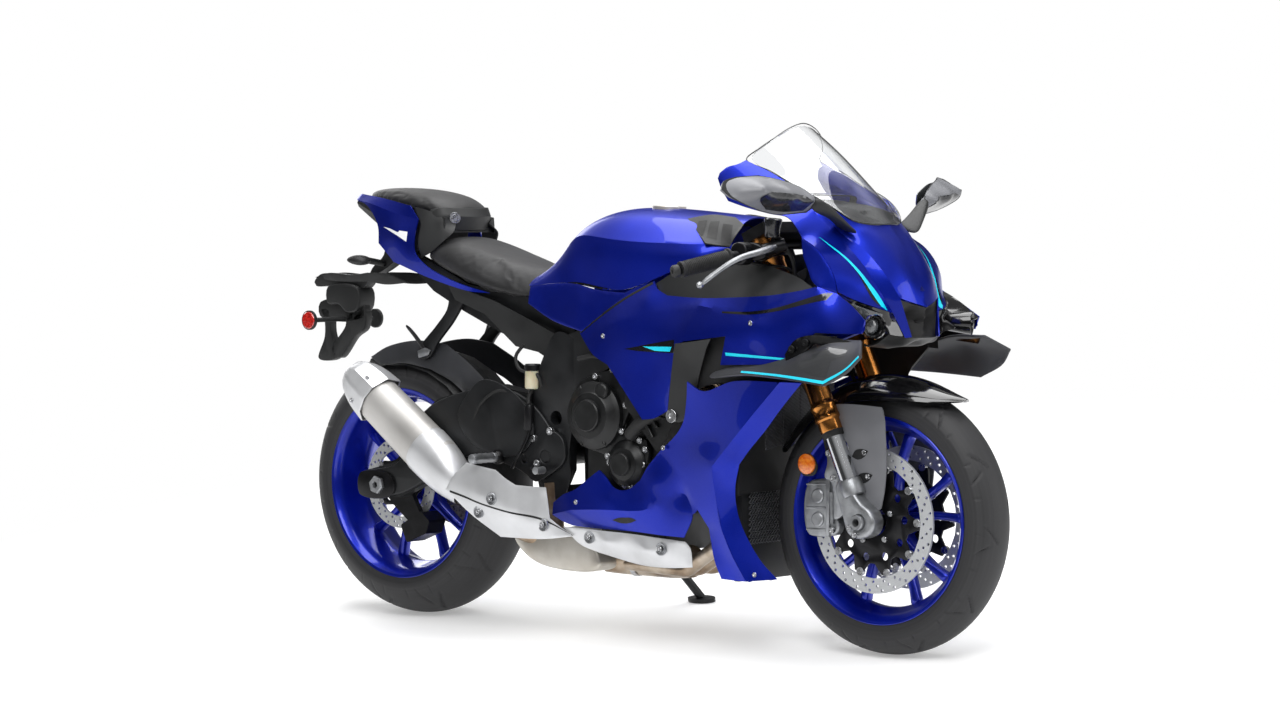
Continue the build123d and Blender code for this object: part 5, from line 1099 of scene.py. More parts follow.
# spoke stations: radius, angle from the pair's middle, half width, half depth
SPOKE = [(62, 8.5, 12.5, 24), (105, 10.5, 10, 18), (150, 12.8, 9, 15), (182, 14.4, 10.5, 15), (201, 15.3, 15, 17)]
SPOKE_PAIRS, SPOKE_FOOT = 5, 201
SPOKE_FORM = [(-1, -0.55), (-0.6, -1), (0.6, -1), (1, -0.55), (1, 0.55), (0.6, 1), (-0.6, 1), (-1, 0.55)]


def around(centre, radius, angle, y=0):
    """A point at a radius and an angle about a wheel's axle."""
    return centre.x + radius * cos(angle), y, centre.z + radius * sin(angle)


def tyre(name, centre, crown, half_width, crown_radius, rim_half, body, finish):
    """A road tyre: profile turned about the axle, with slanted grooves pressed into its tread."""
    turns, across, rows = 640, 56, []
    shoulder = asin(min(0.98, (half_width - 3) / crown_radius))
    for s in np.linspace(-1, 1, across + 1):
        if abs(s) <= TREAD_SHARE:
            lean = s / TREAD_SHARE * shoulder
            rows.append((crown - crown_radius * (1 - cos(lean)), crown_radius * sin(lean), s / TREAD_SHARE))
        else:
            t = (abs(s) - TREAD_SHARE) / (1 - TREAD_SHARE)
            top = crown - crown_radius * (1 - cos(shoulder))
            fall = top + (BEAD_R - top) * t
            width = (half_width - 3) + 3 * sin(t * 2.2) - (half_width - (rim_half + 2)) * t**2.2
            rows.append((fall, copysign(width, s), 2.0))
    points = []
    for k in range(turns):
        a = 2 * pi * k / turns
        for radius, y, share in rows:
            dip = 0.0
            if abs(share) <= 1:
                for repeat, start, end, slope, wide in GROOVES:
                    phase = (a * repeat / (2 * pi) + (0.5 if share < 0 else 0.0)) % 1.0
                    reach = abs(share)
                    if start < reach < end:
                        line = 0.25 + slope * (reach - start)
                        gap = abs((phase - line + 0.5) % 1.0 - 0.5) * 2 * pi * crown / repeat
                        fade = min(1, (reach - start) / 0.06, (end - reach) / 0.06)
                        dip = max(dip, GROOVE_DEPTH * fade * max(0.0, 1 - max(0.0, gap - wide * 0.5) / 1.6))
            points.append(around(centre, radius - dip, a, y))
    made = build(name, points, [(a, d, c, b) for a, b, c, d in grid_faces(len(rows), turns, along=True)])
    return dress(made, finish, [name.replace("_dressed", "")], 50, body=body)


tyre("front_tyre_dressed", FRONT_HUB, FRONT_R, 59.5, 62.0, FRONT_RIM_HALF, "front_wheel", front_rubber)
tyre("rear_tyre_dressed", REAR_HUB, REAR_R, 94.6, 98.0, REAR_RIM_HALF, "rear_wheel", rear_rubber)


def wheel(name, centre, half, hub_half, hub_radius, body, node, dish):
    """Cast wheel: barrel with a drop centre, flared hub and ten spokes in five pairs."""
    lip = half + 6.5
    outer = [(230.6, half), (230.6, lip - 1), (229, lip), (223, lip - 1), (214, half - 5), (209, half - 16),
             (206, half - 26), (196, 14), (194, 8)]
    inner = [(203, 12), (218, half - 24), (219, half - 8), (222, half)]
    shell = outer + [(r, -d) for r, d in outer[::-1]] + [(r, -d) for r, d in inner[::-1]] + inner
    barrel = lathe(name + "_barrel", shell, centre, steps=160, closed=True)
    cheek = [(24, hub_half), (hub_radius + 6, hub_half), (hub_radius + 8, hub_half - 2), (hub_radius, hub_half - 10)]
    hub = [(r, -d) for r, d in cheek] + [(hub_radius - 6, 0)] + cheek[::-1]
    core = lathe(name + "_hub", hub, centre, steps=96, closed=True)
    parts = [barrel, core]
    for pair in range(SPOKE_PAIRS):
        for side in TAG:
            rows = []
            for radius, swing, wide, deep in [(hub_radius - 8, 7.5, 15, hub_half - 10)] + SPOKE:
                a = radians(90 + pair * 360 / SPOKE_PAIRS + side * swing)
                at = Vector(around(centre, radius, a))
                cross = Vector((-sin(a), 0, cos(a)))
                offset = dish * (1 - radius / SPOKE_FOOT)
                rows.append([tuple(at + cross * u * wide + Vector((0, offset + v * deep, 0)))
                    for u, v in SPOKE_FORM])
            parts.append(cage(f"{name}_spoke_{pair}{side}", rows, both=False, closed=True, caps=(True, True),
                levels=2))
    made = face_out(merge(name, *parts))
    return dress(made, wheel_blue, [node], 34, body=body)


wheel("front_wheel_cast", FRONT_HUB, FRONT_RIM_HALF, 52.0, 34.0, "front_wheel", "front_rim", 0.0)
wheel("rear_wheel_cast", REAR_HUB, REAR_RIM_HALF, 58.0, 44.0, "rear_wheel", "rear_rim", -6.0)


def brake_disc(name, centre, outer, inner, middle, thick, count, body, finish, node, others=()):
    """Drilled disc: rows of holes, staggered, in a ring."""
    ring = [(outer * cos(a) + centre.x, outer * sin(a) + centre.z)
        for a in np.linspace(0, 2 * pi, 120, endpoint=False)]
    holes = []
    for k in range(count):
        for row, share in enumerate((0.2, 0.5, 0.8)):
            a = 2 * pi * (k + row * 0.36) / count
            r = inner + (outer - inner) * share
            holes.append((centre.x + r * cos(a), centre.z + r * sin(a), 3.4))
    plates = [slab(f"{name}_{k}", ring, y - thick / 2, y + thick / 2, 0,
        holes=[(centre.x, centre.z, inner)] + holes) for k, y in enumerate((middle,) + tuple(others))]
    return dress(merge(name, *plates), finish, [node] if node else (), 30, body=body)


brake_disc("front_discs_drilled", FRONT_HUB, 160.0, 127.0, -68.0, 5.0, 28, "front_wheel", front_disc_steel,
    "front_discs", (68.0,))
brake_disc("rear_disc_drilled", REAR_HUB, 110.0, 82.0, -84.0, 5.0, 20, "rear_wheel", rear_disc_steel, "rear_disc")


def carrier(name, centre, y, outer, hub, arms, body):
    """Black disc carrier with arms that end in the disc's bobbins."""
    line = []
    for k in range(arms * 4):
        a = 2 * pi * k / (arms * 4)
        r = outer if k % 4 in (0, 1) else outer * 0.78
        line.append((centre.x + r * cos(a - 0.12), centre.z + r * sin(a - 0.12)))
    holes = [(centre.x, centre.z, hub)] + [(centre.x + outer * 0.68 * cos(2 * pi * (k + 0.1) / arms),
        centre.z + outer * 0.68 * sin(2 * pi * (k + 0.1) / arms), 9.0) for k in range(arms)]
    return dress(slab(name, line, y - 3, y + 3, 1.0, holes=holes), black_anodise, body=body)


for side in TAG:
    carrier(f"front_carrier_{TAG[side]}", FRONT_HUB, side * 67.5, 121.0, 34.0, 10, "front_wheel")
studs("front_disc_bobbins", [around(FRONT_HUB, 118, 2 * pi * (k + 0.02) / 10, side * 68) for side in TAG
    for k in range(10)], 9.0, 11.0, 4.0, along=(0, 1, 0), body="front_wheel")
studs("front_carrier_screws", [around(FRONT_HUB, 50, 2 * pi * (k + 0.3) / 5, side * 71) for side in TAG
    for k in range(5)], 6.5, 8.0, 3.0, along=(0, 1, 0), body="front_wheel")
carrier("rear_carrier", REAR_HUB, -84.0, 76.0, 34.0, 5, "rear_wheel")
studs("rear_disc_bobbins", [around(REAR_HUB, 74, 2 * pi * (k + 0.02) / 5, -86) for k in range(5)], 7.5, 10.0,
    3.4, along=(0, 1, 0), body="rear_wheel")


# ---- engine, exhaust and running gear ----
CLUTCH, ROTOR = Vector((691, 0, 512)), Vector((782, 0, 404))


def stepped(name, middle, y, side, radius, rise):
    """Round cast cover with a soft shoulder, a machined step and a raised centre."""
    out = Vector((0, side, 0))
    profile = [(0, rise), (radius * 0.40, rise), (radius * 0.43, rise - 2), (radius * 0.45, rise - 9),
        (radius * 0.62, rise - 11), (radius * 0.66, rise - 15), (radius * 0.82, rise - 20),
        (radius * 0.93, rise - 28), (radius * 0.95, 10), (radius, 8), (radius, 0), (0, 0)]
    return lathe(name, profile, (middle.x, y, middle.z), out, 96)


clutch = stepped("clutch_cover", CLUTCH, -CASE_SIDE, -1, 84, 55)
rotor = stepped("rotor_cover", ROTOR, -CASE_SIDE, -1, 60, 44)
left_cover = stepped("generator_cover", Vector((800, 0, 405)), CASE_SIDE, 1, 70, 36)
bridge = slab("cover_bridge", [(640, 590), (700, 612), (760, 622), (800, 596), (796, 540), (760, 470), (838, 462),
    (846, 430), (834, 380), (800, 346), (760, 350), (724, 390), (720, 420), (640, 440), (612, 480), (610, 550)],
    -166, -CASE_SIDE, 5, 2)
RIB = [(40, -0.07), (76, -0.04), (76, 0.04), (40, 0.07)]     # radius and swing of a rib's corners
ribs = [slab(f"cover_rib_{k}", [(CLUTCH.x + r * cos(a + w), CLUTCH.z + r * sin(a + w)) for r, w in RIB],
    -186, -166, 1.5, 1) for k, a in enumerate(radians(d) for d in (62, 118, 245, 300))]
covers = merge("engine_cover_castings", clutch, rotor, left_cover, bridge, *ribs)
sprocket_guard = slab("sprocket_guard", [(592, 352), (594, 452), (640, 474), (700, 462), (716, 400), (694, 346)],
    CASE_SIDE, 164, 4, 2)
dress(merge("engine_castings", covers, sprocket_guard), engine_enamel, ["engine_covers"], 34)
RIM_SCREWS = [(690, 601), (742, 618), (790, 586), (780, 538), (768, 478), (822, 459), (838, 439), (831, 404),
    (732, 405), (727, 420), (778, 356), (796, 356)]
studs("cover_screws", [(x, -168, z) for x, z in RIM_SCREWS], 7.5, 9, 3.6)
plug = lathe("filler_plug", [(0, 12), (13, 12), (16, 9), (19, 9), (20, 4), (20, 0), (0, 0)], (726, -182, 570),
    RIGHT, 40)
dress(plug, engine_enamel)
bank = [slab(f"bank_fin_{k}", [(800 + k * 18, 585 + k * 3), (808 + k * 18, 586 + k * 3),
    (880 + k * 14, 470 + k * 22), (872 + k * 14, 468 + k * 22)], -194, -184, 1.2, 1) for k in range(5)]
dress(merge("cylinder_ribs", *bank), engine_enamel)
hose = pipe("coolant_hose", [(800, -178, 470), (838, -186, 500), (880, -184, 520), (930, -172, 545),
    (960, -150, 580)], 15, 20)
loom = pipe("engine_loom", [(640, -170, 640), (700, -176, 648), (770, -174, 626), (850, -170, 600),
    (930, -172, 590), (980, -165, 604)], 6, 10)
dress(merge("engine_hoses", hose, loom), black_parts_and_painted_shade)

# frame: the pivot plate's recesses and bolts, over the cast plate
NUT_R = 17
for name, x, y, z, sides in (("pivot_nut", 554, -150.5, 425, 6), ("front_mount_bolt", 928, -160, 530, 40)):
    ring_out = lathe(name + "_collar", [(NUT_R * 0.62, 1), (NUT_R + 7, 1), (NUT_R + 9, 3), (NUT_R + 9, 0),
        (NUT_R * 0.62, 0)], (x, y, z), RIGHT, 48, True)
    nut = lathe(name, [(0, 5), (NUT_R * 0.42, 5), (NUT_R * 0.5, 3), (NUT_R * 0.55, 9), (NUT_R, 9), (NUT_R + 2, 6),
        (NUT_R + 2, 0), (0, 0)], (x, y, z), RIGHT, sides)
    dress(merge(name + "_set", ring_out, nut), zinc)
studs("hanger_screws", [(495, -163, 452), (508, -163, 393), (548, -163, 470)], 9, 10, 4.4)
plate_skin = slab("pivot_plate_skin", [(560, 700), (640, 662), (664, 600), (634, 545), (604, 470), (596, 400),
    (602, 372), (572, 316), (512, 324), (494, 420), (488, 560), (516, 640)], -152.5, -149.5, 1.2, 2, gap=9,
    holes=[(556, 500, 17)])
dress(plate_skin, frame_paint)

# exhaust: a sleeve between two covers, built of eight-sided rows along the silencer
CAN_FRONT, CAN_REAR = Vector((238, -200, 380)), Vector((4, -214, 562))
can_way = CAN_REAR - CAN_FRONT
can_up = Vector((can_way.z, 0, -can_way.x)).normalized()
CAN_FORM = [(-0.70, 0.84), (0.20, 1.0), (0.86, 0.62), (1.0, 0.10), (0.80, -0.52), (0.30, -0.96), (-0.70, -0.88),
    (-1.0, 0.0)]


def can_row(share, wide, high, drop=0.0):
    """Eight points round the silencer at a share of its length."""
    at = CAN_FRONT + can_way * share
    return [tuple(at + Vector((0, -a * wide, 0)) + can_up * (b * high + drop)) for a, b in CAN_FORM]


sleeve = cage("silencer_sleeve", [can_row(*cut) for cut in ((0.02, 52, 66), (0.06, 53, 67), (0.45, 54, 65),
    (0.82, 52, 62))], both=False, closed=True, levels=2)
end_cap = cage("silencer_end", [can_row(*cut) for cut in ((0.815, 54, 64), (0.83, 55, 65), (1.0, 51, 60),
    (1.09, 42, 50), (1.16, 30, 34), (1.165, 22, 26), (1.10, 20, 24))], both=False, closed=True, levels=2,
    creases=(0, 1, 2, 3, 4, 5, 6, 7), row_creases=(1, 3))
front_cover = cage("silencer_nose", [can_row(*cut) for cut in ((0.22, 55, 66, 0), (0.20, 56, 68, 0),
    (0.02, 55, 67, 0), (-0.12, 52, 60, -2), (-0.24, 42, 46, -6), (-0.32, 30, 32, -12))], both=False,
    closed=True, levels=2, row_creases=(1,))
dress(sleeve, titanium, ["silencer"], 40)
dress(thicken(end_cap, 2), shield_alloy, angle=40)
dress(front_cover, shield_alloy, angle=40)
outlet = lathe("silencer_outlet", [(0, -30), (17, -30), (17, 2), (21, 3), (21, -31), (0, -31)],
    CAN_FRONT + can_way * 1.13, can_way, 40)
dress(outlet, hot_steel)
studs("silencer_screws", pinned(end_cap, [(49, -250, 582), (2, -250, 526)], (0.2, -1, 0.2)), 5, 6, 2.4,
    along=(0.1, -1, 0.3))
link_guard = skin("link_pipe_shield", [corner(344, -228, 392), (400, -232, 384), corner(438, -232, 379),
    (468, -230, 360), corner(495, -226, 346), (530, -218, 344), corner(576, -212, 343), (579, -208, 310),
    corner(582, -205, 272), (604, -196, 254), corner(640, -188, 232), (560, -204, 222), corner(444, -220, 222),
    (360, -228, 270), corner(286, -236, 326), (306, -236, 356)], [(400, -243, 320), (480, -238, 290),
    (540, -222, 260)], RIGHT, shield_alloy, ["exhaust_shields"], step=8, wall=2, both=False, angle=30)
film("link_shield_seam", [corner(292, -228, 325), (341, -230, 314), (390, -232, 301), (475, -226, 284),
    (564, -215, 272), corner(650, -200, 234), (564, -215, 267), (475, -226, 280), (390, -232, 297),
    (341, -230, 309), corner(292, -228, 320)], link_guard, EYE, black_parts_and_painted_shade, 0.3, 3.0, False)
low_guard = skin("header_shield", [corner(608, -188, 253), (700, -184, 250), (804, -180, 246),
    corner(955, -172, 236), (968, -168, 222), corner(971, -164, 178), (900, -160, 172), (819, -160, 174),
    corner(700, -168, 196), (650, -178, 214)], [(740, -190, 226), (860, -186, 210)], RIGHT, shield_alloy, step=8,
    wall=2, both=False)
for place, spots, host in (("link_shield_screws", [(435, -215, 312), (388, -215, 279), (567, -200, 256)],
        link_guard), ("header_shield_screws", [(683, -170, 232), (891, -170, 216)], low_guard)):
    cups = [lathe(f"{place}_cup_{k}", [(0, -1), (9, -1), (10, 1.5), (14, 2.2), (15, 0.6), (15, -1.5), (0, -1.5)],
        at, RIGHT, 32) for k, at in enumerate(pinned(host, spots))]
    dress(merge(place + "_cups", *cups), cast_silver)
    studs(place, [(x, y - 3, z) for x, y, z in pinned(host, spots)], 6.5, 6, 3)
box = slab("silencing_box", [(396, 214), (410, 224), (620, 230), (640, 208), (664, 160), (640, 146), (482, 152),
    (424, 180)], -122, 62, 14, 3, gap=12)
dress(box, box_steel, ["exhaust_box"], 40)
neck = pipe("link_pipe", [(460, -100, 214), (410, -130, 240), (356, -168, 284), (312, -190, 336),
    (276, -200, 372)], 24, 28)
collector = pipe("header_collector", [(620, -40, 176), (660, -24, 172), (700, -10, 170), (800, -10, 170),
    (860, -30, 176)], 38, 28)
riser = pipe("link_riser", [(535, -140, 349), (540, -140, 296), (545, -140, 242)], 20, 24)
dress(merge("link_pipes", neck, collector, riser), hot_steel)
CLAMPS = [((410, -130, 240), (-1, -0.65, 0.75), 24), ((690, -14, 171), (1, 0.2, 0), 38)]
clamps = [lathe(f"pipe_clamp_{k}", [(r, -6), (r + 3, -6), (r + 3, 6), (r, 6)], at, way, 40, True)
    for k, (at, way, r) in enumerate(CLAMPS)]
dress(merge("pipe_clamps", *clamps), zinc)

# running gear at the back
arm_right = slab("swingarm_right_skin", [(-62, 300), (-58, 344), (60, 378), (138, 494), (190, 528), (363, 566),
    (470, 542), (552, 460), (552, 404), (470, 394), (300, 404), (60, 300)], -160, -150, 4, 3, gap=14,
    holes=[(0, REAR_R, 15)])
dress(arm_right, frame_paint)
heel = slab("heel_guard_right", [(262, 500), (300, 556), (340, 584), (420, 566), (480, 520), (500, 460),
    (470, 420), (400, 404), (330, 420), (280, 456)], -168, -162.5, 2, 3, gap=12, holes=[(392, 404, 12)])
dress(heel, frame_paint)
adjuster = slab("axle_blocks", [(-62, 296), (-62, 346), (36, 348), (52, 330), (52, 308), (36, 292)], -166, -160, 4,
    2, gap=12)
dress(adjuster, black_anodise)
axle_nut = merge("rear_axle_nuts", lathe("axle_nut", [(8, 12), (9, 14), (19, 14), (22, 10), (22, 0), (8, 0)],
    (0, -163, REAR_R), RIGHT, 6, True), lathe("axle_washer", [(8, 3), (27, 3), (28, 2), (28, 0), (8, 0)],
    (0, -162, REAR_R), RIGHT, 48, True), lathe("axle_head", [(0, 8), (20, 8), (23, 5), (23, 0), (0, 0)],
    (0, 162, REAR_R), (0, 1, 0), 6))
dress(axle_nut, cast_silver, ["rear_axle"], 30)


# ---- fork, brakes and controls ----
def leg_point(height, side):
    """Point of a fork leg's centre line at a height."""
    return FRONT_HUB + STEER * ((height - FRONT_R) / STEER.z) + Vector((0, side * FORK_HALF, 0))


gold_tubes, caps, chromes, seals, feet = [], [], [], [], []
for side in TAG:
    low = leg_point(588, side)
    gold_tubes.append(lathe(f"fork_outer_{side}", [(21.6, -103), (24.4, -103), (25.6, -100), (25.6, -78),
        (29.5, -74), (29.5, -66), (28, -64), (28, -50), (30, -46), (30, -40), (27.2, -36), (26.6, -30), (26.6, 96),
        (29, 100), (29, 104), (27, 108), (27, 300), (28.5, 302), (28.5, 376), (24, 380), (24, 370), (21.6, 370)],
        low, STEER, 64, True))
    caps.append(lathe(f"fork_cap_{side}", [(0, 391), (9, 391), (10, 386), (18, 386), (20, 382), (24.5, 381),
        (24.5, 372), (0, 372)], low, STEER, 48))
    seals.append(lathe(f"fork_wiper_{side}", [(21.7, -116), (23.6, -116), (25.4, -112), (25.4, -104), (26.4, -103),
        (21.7, -103)], low, STEER, 48, True))
    chromes.append(lathe(f"fork_inner_{side}", [(0, -238), (21.4, -238), (21.4, 60), (0, 60)], low, STEER, 64))
    foot = slab(f"fork_foot_{side}", [(1376, 392), (1394, 362), (1411, 342), (1436, 324), (1446, 300), (1437, 276),
        (1405, 263), (1374, 274), (1362, 304), (1350, 338), (1340, 376), (1352, 392)], side * FORK_HALF - 22,
        side * FORK_HALF + 22, 8, 4, gap=9, holes=[(WHEELBASE, FRONT_R, 13)])
    collar = lathe(f"fork_clamp_{side}", [(21.5, -256), (26, -254), (27, -248), (27, -222), (25, -218),
        (21.5, -218)], low, STEER, 48, True)
    lug = slab(f"caliper_lug_{side}", [(1297, 452), (1314, 451), (1331, 411), (1352, 388), (1362, 345),
        (1350, 318), (1318, 300), (1306, 322), (1312, 352), (1310, 380), (1290, 392), (1297, 423)], side * 84,
        side * 97, 3, 2, gap=9)
    feet.append(merge(f"fork_bracket_{side}", foot, collar, lug))
dress(merge("fork_outers", *gold_tubes), gold, ["fork_tubes"], 40, body="steering")
dress(merge("fork_caps", *caps), black_anodise, body="steering")
dress(merge("fork_wipers", *seals), grip_rubber, body="steering")
dress(merge("fork_inners", *chromes), chrome, ["fork_legs"], 40, body="steering")
dress(merge("fork_brackets", *feet), cast_silver, angle=30, body="steering")
studs("axle_clamp_screws", [(1384, -130, 288), (1398, -130, 272)], 6.5, 9, 3.2, body="steering")
spindle = [lathe("spindle_end_right", [(7.8, 6), (9, 9), (15, 9), (17, 6), (17, 0), (7.8, 0)],
    (WHEELBASE, -128, FRONT_R), RIGHT, 48, True), lathe("spindle_nut_left",
    [(7.8, 10), (16, 10), (20, 7), (20, 0), (7.8, 0)], (WHEELBASE, 128, FRONT_R), (0, 1, 0), 6, True),
    lathe("spindle_shaft", [(7.8, -128), (12.4, -128), (12.4, 128), (7.8, 128)], (WHEELBASE, 0, FRONT_R),
    (0, 1, 0), 48, True)]
spacers = [lathe(f"wheel_spacer_{s}", [(12.6, 0), (18.5, 0), (18.5, 10), (12.6, 10)], (WHEELBASE, s * 72, FRONT_R),
    (0, s, 0), 48, True) for s in TAG]
dress(merge("front_spindle", *spindle, *spacers), cast_silver, ["front_axle"], 30, body="steering")

bodies = []
for side in TAG:
    block = slab(f"caliper_body_{side}", [(1250, 384), (1318, 382), (1326, 366), (1322, 340), (1308, 330),
        (1308, 312), (1322, 302), (1326, 280), (1316, 266), (1244, 262), (1234, 276), (1228, 322), (1236, 370)],
        side * 52, side * 92, 6, 3, gap=10)
    pads = [lathe(f"caliper_piston_{side}_{k}", [(0, 6), (13, 6), (16, 4), (17, 0), (0, 0)], (1270, side * 91, z),
        (0, side, 0), 40) for k, z in enumerate((350, 298))]
    rail = slab(f"caliper_bridge_{side}", [(1296, 388), (1306, 388), (1304, 262), (1294, 262)], side * 88,
        side * 98, 2, 2)
    rail = merge(f"caliper_ribs_{side}", rail, *[slab(f"caliper_rib_{side}_{k}",
        [(1238, z), (1292, z + 2), (1292, z + 7), (1238, z + 5)], side * 90, side * 95, 1.5, 1)
        for k, z in enumerate((272, 320, 372))])
    pin = pipe(f"caliper_pin_{side}", [(1310, side * 96, 360), (1312, side * 96, 290)], 5, 12, smooth=False)
    bodies.append(merge(f"caliper_{side}", block, *pads, rail, pin))
dress(merge("front_caliper_bodies", *bodies), cast_silver, ["front_calipers"], body="steering")
studs("caliper_screws", [(1304, -99, 446), (1316, -98, 392), (1312, -98, 276)], 7, 8, 3.4, body="steering")
reflex = [lathe(f"reflector_front_{s}", [(0, 7), (19, 6), (22.5, 4), (23, 0), (0, 0)], (1254, s * 112, 421),
    (0, s, 0), 48) for s in TAG]
dress(merge("front_reflectors", *reflex), amber_lens, body="steering")
holders = [slab(f"reflector_plate_{s}", [(1228, 424), (1236, 444), (1262, 442), (1280, 418), (1272, 398),
    (1240, 396)], s * 105, s * 111, 1, 1, gap=8) for s in TAG]
dress(merge("reflector_plates", *holders), moulded_black, body="steering")
hoses = [pipe(f"brake_hose_{s}", [(1300, s * 64, 386), (1286, s * 76, 440), (1276, s * 84, 500),
    (1266, s * 96, 546), (1228, s * 97, 602), (1206, s * 93, 652), (1196, s * 82, 700)], 4.4, 12, 8) for s in TAG]
dress(merge("brake_hoses_dressed", *hoses), black_parts_and_painted_shade, ["brake_hoses"], 60, body="steering")

# bars: ringed grips with their levers, and the brake's master cylinder
grips, bars, levers, ends, rings_at = [], [], [], [], []
for side in TAG:
    root, end = Vector((1166, side * 122, 902)), Vector((1066, side * 330, 850))
    way = (end - root).normalized()
    start = end - way * 128
    grips.append(lathe(f"grip_{side}", [(11, 0), (20, 0), (21, 2), (21, 5), (17.5, 8), (16.8, 60), (17.3, 118),
        (18.5, 120), (18.5, 124), (11, 124)], start, way, 48, True))
    rings_at += [(start + way * (12 + k * 4.2), way) for k in range(25)]
    bars.append(pipe(f"bar_{side}", [root - way * 14, end - way * 2], 11, 24, smooth=False))
    clamp = leg_point(896, side)
    bars.append(lathe(f"bar_clamp_{side}", [(27.2, -30), (37, -30), (38, -28), (38, -2), (37, 0), (27.2, 0)],
        clamp, STEER, 48, True))
    bars.append(pipe(f"bar_riser_{side}", [leg_point(883, side), root], 14, 20, smooth=False))
    ends.append(lathe(f"bar_end_{side}", [(0, 0), (11, 0), (13.5, 2), (14, 12), (12, 16), (5, 16.5), (4, 12),
        (0, 12)], end, way, 40))
    hold = root + way * 50
    ahead = Vector((0.9, side * 0.35, -0.22)).normalized()
    blade = [Vector((x, side * y, z)) for x, y, z in ((1222, 176, 904), (1204, 214, 890), (1186, 254, 881),
        (1168, 276, 868), (1140, 298, 843), (1117, 320, 818))]
    levers.append(cage(f"lever_{side}", [[tuple(p + Vector((0, 0, b)) + ahead * a)
        for a, b in ((-w, -h), (0, -h * 1.2), (w, -h), (w, h), (0, h * 1.2), (-w, h))]
        for p, w, h in zip(blade, (9, 9, 6, 5, 5.5, 6), (6, 6, 5.5, 5, 5, 6))], both=False, closed=True,
        caps=(True, True)))
    levers.append(lathe(f"lever_ball_{side}", [(0, -8), (5.5, -6), (8, 0), (5.5, 6), (0, 8)], blade[-1], way, 24))
    perch = slab(f"perch_{side}", [(hold.x - 16, hold.z - 12), (hold.x - 12, hold.z + 16),
        (hold.x + 10, hold.z + 18), (hold.x + 44, hold.z + 2), (hold.x + 46, hold.z - 12),
        (hold.x + 10, hold.z - 20)], side * (abs(hold.y) - 12), side * (abs(hold.y) + 16), 4, 2, gap=8)
    switch = root + way * 76
    pod = slab(f"switch_pod_{side}", [(switch.x - 22, switch.z - 20), (switch.x - 20, switch.z + 18),
        (switch.x - 4, switch.z + 26), (switch.x + 18, switch.z + 20), (switch.x + 24, switch.z - 8),
        (switch.x + 8, switch.z - 24)], side * (abs(switch.y) - 17), side * (abs(switch.y) + 17), 5, 3, gap=9)
    bars += [perch, pod]
bars.append(pipe("yoke_pad", [(1120, -60, 903), (1118, 60, 903)], 10, 16, smooth=False))
dress(merge("grips_rubber", *grips), grip_rubber, ["handlebars", "hand_controls"], 40, body="steering")
dress(merge("bars_and_pods", *bars), black_anodise, angle=35, body="steering")
dress(merge("levers_cast", *levers), cast_silver, angle=40, body="steering")
dress(merge("bar_ends", *ends), moulded_black, angle=40, body="steering")
ribs_on = [lathe(f"grip_rib_{k}", [(16.6, -0.9), (18.3, -0.6), (18.3, 0.6), (16.6, 0.9)], at, way, 20, True) for k,
    (at, way) in enumerate(rings_at)]
dress(merge("grip_ribs", *ribs_on), grip_rubber, body="steering")
pump = pipe("brake_pump", [(1178, -172, 890), (1196, -150, 900), (1212, -136, 906)], 15, 20)
pot = lathe("brake_pot", [(0, 0), (15, 0), (17, 3), (18, 30), (20, 31), (20, 40), (17, 42), (0, 42)],
    (1186, -152, 922), (0.1, 0, 1), 48)
pot_stay = slab("pot_stay", [(1180, 906), (1184, 930), (1192, 930), (1190, 906)], -150, -144, 1, 1)
dress(merge("brake_pump_set", pump, pot_stay), black_anodise, body="steering")
dress(pot, smoked_lens, body="steering")
feeds = [pipe("brake_feed_a", [(1186, -152, 924), (1198, -136, 916), (1206, -132, 904)], 5, 12, 5),
    pipe("brake_feed_b", [(1210, -134, 900), (1226, -128, 870), (1224, -118, 820), (1210, -104, 760),
    (1200, -90, 706)], 4.4, 12, 8), pipe("clutch_cable", [(1196, 150, 900), (1224, 130, 890), (1216, 96, 850),
    (1188, 70, 800)], 3.6, 12, 8), pipe("throttle_cable", [(1130, -196, 872), (1160, -150, 860), (1190, -100, 852),
    (1196, -60, 830)], 3.6, 12, 8)]
dress(merge("control_cables", *feeds), black_parts_and_painted_shade, body="steering")
dress(lathe("clutch_adjuster", [(0, 0), (7, 0), (7, 6), (5, 8), (5, 16), (0, 16)], (1200, 152, 902),
    (0.5, -0.4, 0), 24), zinc, body="steering")

# ---- tail, footrests and small fittings ----
shelf = slab("hanger_shelf", [(-358, 802), (-337, 822), (-258, 822), (-190, 812), (-93, 850), (-30, 905),
    (-20, 925), (-70, 940), (-110, 920), (-120, 872), (-160, 838), (-187, 792), (-283, 796), (-351, 793)], -16, 16,
    4, 3, gap=10)
blades = panel("hanger_wings", [patch([corner(-366, -6, 814), (-300, -24, 826), (-210, -36, 822),
    corner(-150, -44, 828), (-70, -56, 826), corner(9, -64, 806), (-80, -50, 800), corner(-150, -36, 806),
    (-280, -24, 806)], [], (0, -1, 0.3), 8)], (0, -1, 0.4), 3)
lamp_box = slab("plate_lamp_box", [(-302, 792), (-196, 788), (-198, 736), (-240, 730), (-262, 748), (-302, 750)],
    -30, 30, 6, 3, gap=12)
legs = [slab(f"hanger_leg_{k}", outline, -12, 12, 3, 2, gap=10)
    for k, outline in enumerate(([(-344, 734), (-312, 736), (-306, 680), (-288, 616), (-350, 612), (-328, 668),
    (-330, 712)], [(-250, 736), (-190, 736), (-192, 690), (-226, 668), (-280, 614), (-304, 636), (-256, 696)],
    [(-344, 752), (-196, 752), (-192, 716), (-344, 718)]))]
dress(merge("plate_hanger_frame", shelf, blades, lamp_box, *legs), moulded_black, ["plate_hanger"], 35)
arms = [pipe(f"reflector_arm_{s}", [(-250, s * 18, 712), (-262, s * 50, 712), (-272, s * 100, 711)], 6, 12, 10)
    for s in TAG]
